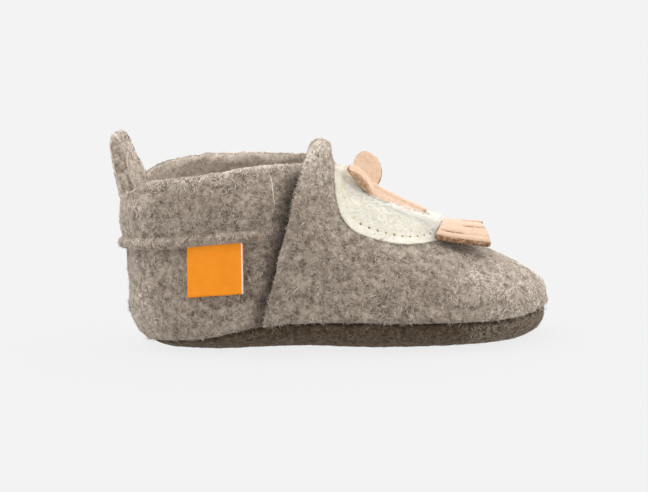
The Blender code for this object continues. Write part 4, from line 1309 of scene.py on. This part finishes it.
def make_label():
    """A folded satin ribbon, bare, tucked under the hem, with a pale selvedge at its front edge."""
    x = np.linspace(LABEL_BACK, LABEL_BACK + LABEL_WIDTH, LABEL_STEPS)
    hem = HEM(wall_turn(x, HEM_ROWS[-1][1] + 0 * x))
    down = np.linspace(1, 0, LABEL_ROWS)
    heights = hem[:, None] + LABEL_TUCK - LABEL_HEIGHT * down
    turns = wall_turn(x[:, None] + 0 * heights, heights)
    rises = rise_at_height(turns, heights)
    wave = LABEL_WAVE * np.sin(x * LABEL_WAVE_TURN)[:, None] * down
    lift = FELT + GAP + LABEL_LIFT + LABEL_FLARE * (down ** 2)[None, :] + wave
    bottom = offset_point(turns, rises, lift)
    top = offset_point(turns, rises, lift + LABEL_THICKNESS)
    slots = np.zeros((LABEL_STEPS - 1, LABEL_ROWS - 1), int)
    slots[-1:] = 2
    sheet = slab(top, bottom, 4, 0.2, (0.0, 0.0), slots)
    piece = make_slabs("ribbon_label", [sheet], [ribbon_face, ribbon_edge, ribbon_selvedge])
    return place(piece, "orange_ribbon", "label")


make_head()
make_fringe()
make_label()


# Fibres

FIBRE_SEGMENTS = 3
FIBRE_TAPER = np.array([0.6, 1.0, 0.9, 0.35])
STRAY_SHARE = 0.008
FIBRE_TUCK = 0.28
FUZZ_COLUMNS = ("name", "count", "length", "width", "pitch", "curl", "tone", "spread", "mottle", "seed")
FUZZ_ROWS = (
    ("vamp_fibres_1", 25000, 1.7, 0.16, 0.08, 2.0, 0.38, 0.17, 0.19, 101),
    ("vamp_fibres_2", 25000, 1.7, 0.16, 0.08, 2.0, 0.38, 0.17, 0.19, 201),
    ("quarter_fibres_1", 21500, 1.7, 0.16, 0.08, 2.0, 0.43, 0.17, 0.19, 102),
    ("quarter_fibres_2", 21500, 1.7, 0.16, 0.08, 2.0, 0.43, 0.17, 0.19, 202),
    ("tab_fibres", 4500, 1.6, 0.18, 0.08, 2.0, 0.36, 0.19, 0.2, 103),
    ("insole_fibres", 1500, 2.2, 0.30, 0.13, 1.6, 0.6, 0.15, 0.2, 104),
    ("sole_fibres", 12000, 1.4, 0.14, 0.12, 1.9, 0.58, 0.27, 0.2, 105),
    ("patch_fibres", 11000, 2.3, 0.12, 0.10, 1.6, 0.70, 0.06, 0.06, 106),
    ("patch_fluff", 6000, 2.6, 0.09, 0.40, 1.8, 0.97, 0.04, 0.02, 108),
)
# How fibres lie: the size of their swirls and how much they stray from them, and how they vary
FLOW_SIZE, FLOW_SEED, FLOW_SCATTER = 7.0, 310, 0.45
LENGTH_VARIES, WIDTH_VARIES, ROLL_VARIES = (0.5, 1.4), (0.6, 1.4), (-0.5, 0.5)
STRAY_PITCH, LEAST_PITCH, ROOT_DEPTH = (0.2, 0.5), 0.04, 0.05
TONE_SEED = 300


def sample_surface(piece, count, rng, weight=None):
    """Random points on a piece, even over its area or by a weight, with their normals, in the last's
    millimetres."""
    mesh = piece.data
    mesh.calc_loop_triangles()
    corners = np.empty(len(mesh.loop_triangles) * 3, int)
    mesh.loop_triangles.foreach_get("vertices", corners)
    corners = corners.reshape(-1, 3)
    points = np.empty(len(mesh.vertices) * 3)
    mesh.vertices.foreach_get("co", points)
    points = points.reshape(-1, 3) / MM - np.array([HEEL_X, CENTRE_Y, 0])
    normals = np.empty(len(mesh.vertices) * 3)
    mesh.vertices.foreach_get("normal", normals)
    normals = normals.reshape(-1, 3)
    a, b, c = (points[corners[:, k]] for k in range(3))
    area = np.linalg.norm(np.cross(b - a, c - a), axis=1)
    if weight is not None:
        area = area * weight((a + b + c) / 3, normals[corners].mean(1))
    chosen = rng.choice(len(area), count, p=area / area.sum())
    u, v = rng.random((2, count))
    over = u + v > 1
    u, v = np.where(over, 1 - u, u), np.where(over, 1 - v, v)
    share = np.stack([1 - u - v, u, v], -1)[..., None]
    at = (points[corners[chosen]] * share).sum(1)
    normal = (normals[corners[chosen]] * share).sum(1)
    return at, normal / np.linalg.norm(normal, axis=1, keepdims=True)


def fibre_mesh(name, paths, sides, widths, tones, material):
    """Ribbons along paths, each with a tone, joined in one mesh."""
    count, steps = paths.shape[:2]
    half = widths[:, None, None] / 2 * FIBRE_TAPER[None, :, None]
    points = np.stack([paths - sides * half, paths + sides * half], 2).reshape(-1, 3)
    points[:, 2] = np.maximum(points[:, 2], 0)
    first = (np.arange(count) * steps * 2)[:, None] + np.arange(steps - 1) * 2
    quads = np.stack([first, first + 2, first + 3, first + 1], -1).reshape(-1, 4)
    mesh = bpy.data.meshes.new(name)
    mesh.vertices.add(len(points))
    mesh.vertices.foreach_set("co", to_world(points).ravel())
    mesh.loops.add(quads.size)
    mesh.loops.foreach_set("vertex_index", quads.ravel())
    mesh.polygons.add(len(quads))
    mesh.polygons.foreach_set("loop_start", np.arange(len(quads)) * 4)
    mesh.polygons.foreach_set("use_smooth", np.ones(len(quads), bool))
    mesh.update(calc_edges=True)
    tone = np.repeat(np.clip(tones, 0.01, 0.99), steps * 2)
    mesh.attributes.new("tone", "FLOAT", "POINT").data.foreach_set("value", tone)
    uv = np.stack([tone, np.tile(np.linspace(0.2, 0.8, steps * 2), count)], -1)
    mesh.uv_layers.new(name="OFBake").data.foreach_set("uv", uv[quads.ravel()].ravel())
    return show(name, mesh, [material])


def add_fuzz(names, source, material, slot, weight=None, vary=None):
    """Short curly fibres all over a piece, most lying and a few standing off it, by the rows whose
    names start so."""
    for row in FUZZ_ROWS:
        if not row[0].startswith(names):
            continue
        look = dict(zip(FUZZ_COLUMNS, row))
        rng = np.random.default_rng(look["seed"])
        count = look["count"]
        at, normal = sample_surface(source, count, rng, weight)
        longer, paler = vary(at, normal) if vary else (1.0, 0.0)
        flow = np.stack([lumps(at, FLOW_SIZE, FLOW_SEED + k) for k in range(3)], -1)
        tangent = np.cross(normal, flow + FLOW_SCATTER * rng.normal(size=(count, 3)))
        tangent /= np.linalg.norm(tangent, axis=1, keepdims=True)
        across = np.cross(normal, tangent)
        length = look["length"] * rng.uniform(*LENGTH_VARIES, count) * longer
        curl = rng.normal(0, look["curl"], count)
        stray = rng.uniform(*STRAY_PITCH, count) * (rng.random(count) < STRAY_SHARE)
        pitch = np.abs(rng.normal(0, look["pitch"], count)) + LEAST_PITCH + stray
        roll = rng.uniform(*ROLL_VARIES, count)[:, None]
        step = (length / FIBRE_SEGMENTS)[:, None]
        paths, sides = [at - normal * ROOT_DEPTH], []
        for k in range(FIBRE_SEGMENTS + 1):
            share = k / FIBRE_SEGMENTS
            heading = (curl * share)[:, None]
            lean = (pitch * (1 - share) - FIBRE_TUCK * share)[:, None]
            way = np.cos(heading) * tangent + np.sin(heading) * across
            side = -np.sin(heading) * tangent + np.cos(heading) * across
            sides.append(np.cos(roll) * side + np.sin(roll) * normal)
            if k < FIBRE_SEGMENTS:
                paths.append(paths[-1] + step * (np.cos(lean) * way + np.sin(lean) * normal))
        mottle = look["mottle"] * layered(at, TONE_LAYERS, TONE_SEED)
        tones = look["tone"] + mottle + rng.normal(0, look["spread"], count) + paler
        widths = look["width"] * rng.uniform(*WIDTH_VARIES, count)
        mesh = fibre_mesh(look["name"], np.stack(paths, 1), np.stack(sides, 1), widths, tones, material)
        place(mesh, slot)


def tree_of(points):
    tree = KDTree(len(points))
    for number, point in enumerate(points):
        tree.insert(point, number)
    tree.balance()
    return tree


def nearest(tree, points):
    return np.array([tree.find(point)[2] for point in points])


# The foot's own axis, and the share of fibres on the lining where it is seen and deeper down
AXIS_BACK, AXIS_FRONT, AXIS_HEIGHT = 20, 100, 14.0
LINING_SEEN_FROM, LINING_SHARE, DEEP_LINING_SHARE = 40.0, 0.95, 0.12
FOOTPRINT_STEP, FOOTPRINT_INSET = 0.5, 0.3
# Where fluff comes up: past the face's ends, short of the fringe's, and off the fringe's root
FLUFF_BACK, FLUFF_NOSE, FLUFF_ENDS, FLUFF_ROOT, FLUFF_WIDTH = 4.0, 1.0, 2.0, 0.8, 2.2
# Felt that faces up by more than this has fluff or patch fibres on it
FACES_UP = 0.1


def outer_weight(at, normal):
    """More fibres where the felt faces out of the foot than on its lining."""
    x = np.clip(at[:, 0], AXIS_BACK, AXIS_FRONT)
    middle = np.stack([x, 0 * x, np.full(len(at), AXIS_HEIGHT)], -1)
    lining = np.where(at[:, 2] > LINING_SEEN_FROM, LINING_SHARE, DEEP_LINING_SHARE)
    return np.where(np.sum((at - middle) * normal, -1) > 0, 1.0, lining)


def patch_floor():
    """Points on the vamp all over the patch's footprint."""
    along = np.arange(PATCH_BACK, PATCH_FRONT, FOOTPRINT_STEP)
    across = np.arange(-PATCH_HALF_WIDTH, PATCH_HALF_WIDTH, FOOTPRINT_STEP)
    x, side = np.meshgrid(along, across)
    covered = np.abs(side) < patch_half_width(x) - FOOTPRINT_INSET
    return on_vamp(x[covered], side[covered], np.zeros(covered.sum()))


PATCH_FLOOR = tree_of(patch_floor())


def fluff_line():
    """Points along the face's near edge and the fringe's root, where fluff stands up."""
    x = np.arange(FACE_BACK - FLUFF_BACK, FACE_FRONT - FLUFF_NOSE, FOOTPRINT_STEP)
    side = np.arange(-FRINGE_HALF_WIDTH + FLUFF_ENDS, FRINGE_HALF_WIDTH - FLUFF_ENDS, FOOTPRINT_STEP)
    x, side = np.append(x, fringe_back(side) - FLUFF_ROOT), np.append(0 * x - FACE_HALF_WIDTH, side)
    return on_vamp(x, side, np.full(len(x), PATCH_LIFT))


FLUFF_LINE = tree_of(fluff_line())
PATCH_RIM = tree_of(on_vamp(OUTLINE[:, 0], OUTLINE[:, 1], np.full(len(OUTLINE), PATCH_EDGE_LIFT)))


# The vamp's fibres: shorter and denser at its peak, with painted light there, on the lining and at the
# toe, and painted shade along its back edge but a painted highlight high up on it
APEX_AT, APEX_REACH = (58.0, 62.0), 9.0
APEX_PAINTED_LIGHT, APEX_SHORTER, APEX_DENSER = 0.6, 0.35, 1.2
VAMP_LINING_PAINTED_LIGHT = 0.4
TOE_PAINTED_LIGHT, TOE_FROM, TOE_OVER = 0.32, 92.0, 20.0
LAP_EDGE_WIDTH, LAP_EDGE_PAINTED_SHADE = 2.0, 0.15
LAP_EDGE_PAINTED_HIGHLIGHT, LAP_EDGE_FROM, LAP_EDGE_FADE = 0.3, 38.0, 12.0


def by_apex(at):
    """How near points are to the vamp's peak."""
    return np.exp(-(np.sum((at[:, [0, 2]] - APEX_AT) ** 2, -1) / APEX_REACH ** 2))


def ahead_of_lap(at):
    """How far points are ahead of the line of the vamp's back edge."""
    return at[:, 0] - LAST["lean"](turn_of(LAP_STATION)) * (at[:, 2] - LEAN_BASE) - LAP_STATION


def vary_vamp(at, normal):
    """Painted light at the vamp's peak, on its lining and at the toe; along its back edge, painted shade low
    down and a painted highlight high up.
    """
    inner = np.where(outer_weight(at, normal) < 1, VAMP_LINING_PAINTED_LIGHT, 0.0)
    apex = by_apex(at)
    toe = TOE_PAINTED_LIGHT * smooth_step((at[:, 0] - TOE_FROM) / TOE_OVER)
    high = LAP_EDGE_PAINTED_HIGHLIGHT * smooth_step((at[:, 2] - LAP_EDGE_FROM) / LAP_EDGE_FADE)
    edge = bell(ahead_of_lap(at), LAP_EDGE_WIDTH) * (high - LAP_EDGE_PAINTED_SHADE)
    return 1 - APEX_SHORTER * apex, inner + toe + edge + APEX_PAINTED_LIGHT * apex


def vamp_weight(at, normal):
    """More fibres at the peak, none under the patch."""
    bare = nearest(PATCH_FLOOR, at) > FOOTPRINT_INSET
    return outer_weight(at, normal) * (1 + APEX_DENSER * by_apex(at)) * bare


LABEL_INSET = 0.3
# The quarter's fibres: denser and shorter at the rim, with painted light along the rim and at the heel,
# painted light at the lining's top and painted shade lower on it, and strong painted shade in the crease
# under the vamp's edge
RIM_DENSER, RIM_DENSER_WIDTH = 1.6, 2.5
RIM_PAINTED_LIGHT, RIM_PALER_WIDTH, RIM_PALER_FROM, RIM_PALER_OVER = 0.42, 4.0, 5.0, 6.0
RIM_SHORTER = 0.25
HEEL_PAINTED_LIGHT, HEEL_END, HEEL_OVER = 0.15, 14.0, 10.0
LINING_PAINTED_LIGHT, LINING_PAINTED_SHADE, LINING_DARK_FROM, LINING_DARK_OVER = 0.48, 0.55, 53.5, 4.5
CREASE_PAINTED_SHADE, CREASE_FROM, CREASE_WIDTH, CREASE_TOP_OVER = 0.85, 0.5, 3.5, 6.0


def quarter_weight(at, normal):
    """More fibres on the rim, none under the label."""
    along = at[:, 0] - LABEL_BACK
    label = (along > LABEL_INSET) & (along < LABEL_WIDTH - LABEL_INSET) & (at[:, 1] < 0)
    below = at[:, 2] < HEM_ROWS[2][1] - LABEL_INSET
    above = at[:, 2] > HEM_ROWS[2][1] + LABEL_TUCK - LABEL_HEIGHT + LABEL_INSET
    rim = RIM_DENSER * bell(nearest(RIM_LINE, at), RIM_DENSER_WIDTH)
    return outer_weight(at, normal) * np.where(label & below & above, 0.0, 1 + rim)


# The sole's fibres: none on its inside, few where it lies on the floor, denser and longer at the toe, with
# painted light there
SOLE_INSIDE_UP, SOLE_FLOOR, SOLE_FLOOR_SHARE = 0.6, 0.05, 0.15
SOLE_TOE_FROM, SOLE_TOE_OVER = 94.0, 16.0
SOLE_TOE_DENSER, SOLE_TOE_LONGER, SOLE_TOE_PAINTED_LIGHT = 3.4, 0.2, 0.95


def by_sole_toe(at):
    return smooth_step((at[:, 0] - SOLE_TOE_FROM) / SOLE_TOE_OVER)


def sole_weight(at, normal):
    """Fibres all over the sole's outside, more at the toe and few where it lies on the floor."""
    outside = np.where(at[:, 2] < SOLE_FLOOR, SOLE_FLOOR_SHARE, 1.0)
    outside = np.where(normal[:, 2] > SOLE_INSIDE_UP, 0.0, outside)
    return outside * (1 + SOLE_TOE_DENSER * by_sole_toe(at))


def insole_weight(at, normal):
    return np.clip(normal[:, 2], 0, 1)


PATCH_UNDER_SHARE = 0.05
PATCH_EDGE_OVER, PATCH_EDGE_SHORTER, PATCH_EDGE_YELLOWER = 7.0, 0.5, 0.26
CUT_SPARSER, CUT_SHORTER, CUT_PALER = 0.6, 0.4, 0.12


def patch_weight(at, normal):
    return np.where(normal[:, 2] > FACES_UP, 1.0, PATCH_UNDER_SHARE)


def tab_weight(at, normal):
    return 1 - CUT_SPARSER * normal[:, 1] ** 2


def vary_patch(at, normal):
    """Long pale fluff in the patch's middle, short yellower felt at its edge."""
    edge = 1 - smooth_step(nearest(PATCH_RIM, at) / PATCH_EDGE_OVER)
    return 1 - PATCH_EDGE_SHORTER * edge, -PATCH_EDGE_YELLOWER * edge


def vary_tab(at, normal):
    """Shorter, paler felt on the tab's cut edges."""
    cut = normal[:, 1] ** 2
    return 1 - CUT_SHORTER * cut, CUT_PALER * cut


RIM_SAMPLES = 400


def rim_line():
    turns = np.linspace(-1, 1, RIM_SAMPLES) * turn_of(LAP_STATION)
    return offset_point(turns, rise_at_height(turns, rim_height(turns)), np.full(len(turns), FELT))


RIM_LINE = tree_of(rim_line())


def vary_quarter(at, normal):
    """Painted light at the lining's top, at the heel and along the rim, painted shade lower on the lining and
    in the crease under the vamp.
    """
    crease = bell(np.minimum(ahead_of_lap(at) + CREASE_FROM, 0), CREASE_WIDTH)
    crease = crease * smooth_step((-CREASE_FADE[0] / MM - at[:, 2]) / CREASE_TOP_OVER)
    rim = bell(nearest(RIM_LINE, at), RIM_PALER_WIDTH)
    roll = RIM_PAINTED_LIGHT * rim * smooth_step((at[:, 0] - RIM_PALER_FROM) / RIM_PALER_OVER)
    heel = HEEL_PAINTED_LIGHT * smooth_step((HEEL_END - at[:, 0]) / HEEL_OVER)
    lining = LINING_PAINTED_LIGHT - LINING_PAINTED_SHADE * smooth_step((LINING_DARK_FROM - at[:, 2]) / LINING_DARK_OVER)
    inside = outer_weight(at, normal) < 1
    return 1 - RIM_SHORTER * rim, heel + roll + np.where(inside, lining, -CREASE_PAINTED_SHADE * crease)


def vary_sole(at, normal):
    """Longer felt round the toe, with painted light on it."""
    toe = by_sole_toe(at)
    return 1 + SOLE_TOE_LONGER * toe, SOLE_TOE_PAINTED_LIGHT * toe


def fluff_weight(at, normal):
    """Fluff that comes up along the face's near edge and the fringe's root."""
    return np.where(normal[:, 2] > FACES_UP, bell(nearest(FLUFF_LINE, at), FLUFF_WIDTH), 0.0)


add_fuzz("vamp_fibres", vamp, wool_fibre, "wool_felt", vamp_weight, vary_vamp)
add_fuzz("quarter_fibres", quarter, wool_fibre, "wool_felt", quarter_weight, vary_quarter)
add_fuzz("tab_fibres", tab, wool_fibre, "wool_felt", tab_weight, vary_tab)
add_fuzz("insole_fibres", insole, wool_fibre, "wool_felt", insole_weight)
add_fuzz("sole_fibres", sole, sole_fibre, "sole_felt", sole_weight, vary_sole)
add_fuzz("patch_fibres", patch, cream_fibre, "cream_felt", patch_weight, vary_patch)
add_fuzz("patch_fluff", patch, cream_fibre, "cream_felt", fluff_weight)

# A long loose hair on the cuff and two dyed flecks, as distances from the heel and heights
HAIR_POINTS = ((43.1, 53.0), (43.9, 51.4), (44.4, 48.0), (44.9, 44.4))
HAIR_WIDTH, HAIR_LIFT, HAIR_TONE, HAIR_SIDE = 0.2, 0.55, 0.95, (1.0, 0.0, 0.15)
FLECK_POINTS = ((40.3, 34.9), (68.5, 35.2))
FLECK_LENGTH, FLECK_WIDTH, FLECK_LIFT, FLECK_SEED = 1.1, 0.3, 0.35, 107


def on_side(x, height, lift):
    """Points over the outer side's felt, at distances from the heel and heights."""
    turn = wall_turn(np.asarray(x, float), np.asarray(height, float))
    ahead = station_of(turn) > LAP_STATION
    felt = np.where(ahead, vamp_thickness(turn), CUFF_OUTER + CUFF_PUFF)
    return offset_point(turn, rise_at_height(turn, height), felt + lift)


def make_loose_fibres():
    hair = on_side(*np.array(HAIR_POINTS).T, HAIR_LIFT)[None]
    side = np.broadcast_to(HAIR_SIDE, hair.shape)
    width, tone = np.array([HAIR_WIDTH]), np.array([HAIR_TONE])
    place(fibre_mesh("loose_hair", hair, side, width, tone, wool_fibre), "wool_felt")
    rng = np.random.default_rng(FLECK_SEED)
    middle = on_side(*np.array(FLECK_POINTS).T, FLECK_LIFT)
    angle = rng.uniform(0, np.pi, len(middle))
    way = np.stack([np.cos(angle), 0 * angle, np.sin(angle)], -1)
    steps = np.linspace(-0.5, 0.5, FIBRE_SEGMENTS + 1)[None, :, None] * FLECK_LENGTH
    paths = middle[:, None] + steps * way[:, None]
    sides = np.broadcast_to(np.cross(way, [0.0, 1.0, 0.0])[:, None], paths.shape)
    width, tone = np.full(len(middle), FLECK_WIDTH), rng.random(len(middle))
    place(fibre_mesh("dyed_flecks", paths, sides, width, tone, fleck_fibre), "wool_felt")


make_loose_fibres()


# Floor, light and camera

FLOOR_REACH = 6.0
FLOOR_SHADE = 0.09
BACKDROP = 0.896
SKY_FRONT, SKY_BACK = 0.50, 1.8
SKY_FROM, SKY_TO = -0.85, -0.05
SKY_SAMPLES = 64
# Lamps: name, strength, spread in radians and the direction that they shine from
LAMP_ROWS = (("soft_key", 0.9, 0.7, (-0.45, -0.2, 1.0)), ("soft_fill", 0.45, 1.5, (0.8, -0.1, 0.7)))


def sky_light(y):
    """How bright the soft light is in a direction, by its part along the shoe's own left and right."""
    return SKY_FRONT + (SKY_BACK - SKY_FRONT) * smooth_step((y - SKY_FROM) / (SKY_TO - SKY_FROM))


def floor_light():
    """The light that reaches the bare floor."""
    middle = (np.arange(SKY_SAMPLES) + 0.5) / SKY_SAMPLES
    reach, turn = np.meshgrid(np.sqrt(middle), 2 * np.pi * middle)
    lamps = sum(strength * Vector(source).normalized().z for _, strength, _, source in LAMP_ROWS)
    return sky_light(reach * np.sin(turn)).mean() + lamps / np.pi


def make_floor():
    """A pale floor that the light fills in, so that the shoe's shadow stays faint."""
    corners = [(x * FLOOR_REACH, y * FLOOR_REACH, 0) for x, y in ((-1, -1), (1, -1), (1, 1), (-1, 1))]
    mesh = bpy.data.meshes.new("floor")
    mesh.from_pydata(corners, [], [(0, 1, 2, 3)])
    material = new_material("pale_floor", 1.0, 0.0)
    shader = shader_of(material)
    shader.inputs["Base Color"].default_value = (*[BACKDROP * FLOOR_SHADE / floor_light()] * 3, 1)
    shader.inputs["Emission Color"].default_value = (*[BACKDROP] * 3, 1)
    shader.inputs["Emission Strength"].default_value = 1 - FLOOR_SHADE
    show("floor", mesh, [material])


def make_light():
    """Soft light, brighter from above, behind and both ends than from the front, and a plain backdrop."""
    world = bpy.data.worlds.new("studio")
    world.use_nodes = True
    seen, shown = (world.node_tree.nodes[name] for name in ("Background", "World Output"))
    seen.inputs["Color"].default_value = (*[BACKDROP] * 3, 1)
    sky = add_node(world, "ShaderNodeBackground", color=(1, 1, 1, 1))
    where = add_node(world, "ShaderNodeTexCoord")
    split = add_node(world, "ShaderNodeSeparateXYZ")
    level = add_node(
        world, "ShaderNodeMapRange", interpolation_type="SMOOTHSTEP",
        from_min=SKY_FROM, from_max=SKY_TO, to_min=SKY_FRONT, to_max=SKY_BACK,
    )
    path = add_node(world, "ShaderNodeLightPath")
    mix = add_node(world, "ShaderNodeMixShader")
    links = (
        (where, "Generated", split, 0), (split, "Y", level, "Value"), (level, "Result", sky, "Strength"),
        (path, "Is Camera Ray", mix, 0), (sky, 0, mix, 1), (seen, 0, mix, 2), (mix, 0, shown, "Surface"),
    )
    for link in links:
        join(world, *link)
    bpy.context.scene.world = world
    for name, strength, spread, source in LAMP_ROWS:
        sun = bpy.data.lights.new(name, "SUN")
        sun.energy = strength
        sun.angle = spread
        lamp = bpy.data.objects.new(name, sun)
        lamp.rotation_euler = Vector(source).to_track_quat("Z", "Y").to_euler()
        bpy.context.scene.collection.objects.link(lamp)


CAMERA_AZIMUTH = np.radians(0.5)
CAMERA_ELEVATION = np.radians(7.5)
CAMERA_ROLL = np.radians(-1.1)
CAMERA_DISTANCE = 460.0
MM_PER_PIXEL = 0.3158
CAMERA_TARGET = (59.3, 0.0, 29.8)
SENSOR = 36.0
CLIP = (0.01, 50)


def make_camera():
    data = bpy.data.cameras.new("camera")
    data.sensor_width = SENSOR
    data.lens = SENSOR * CAMERA_DISTANCE / (PHOTO_SIZE[0] * MM_PER_PIXEL)
    data.clip_start, data.clip_end = CLIP
    flat = np.cos(CAMERA_ELEVATION)
    look = Vector((-np.sin(CAMERA_AZIMUTH) * flat, np.cos(CAMERA_AZIMUTH) * flat, -np.sin(CAMERA_ELEVATION)))
    target = Vector((CAMERA_TARGET[0] + HEEL_X, CAMERA_TARGET[1] + CENTRE_Y, CAMERA_TARGET[2]))
    camera = bpy.data.objects.new("camera", data)
    camera.location = (target - look * CAMERA_DISTANCE) * MM
    camera.rotation_mode = "QUATERNION"
    camera.rotation_quaternion = look.to_track_quat("-Z", "Y") @ Quaternion((0, 0, 1), CAMERA_ROLL)
    bpy.context.scene.collection.objects.link(camera)
    bpy.context.scene.camera = camera


make_floor()
make_light()
make_camera()
bpy.context.scene.view_settings.view_transform = "Standard"
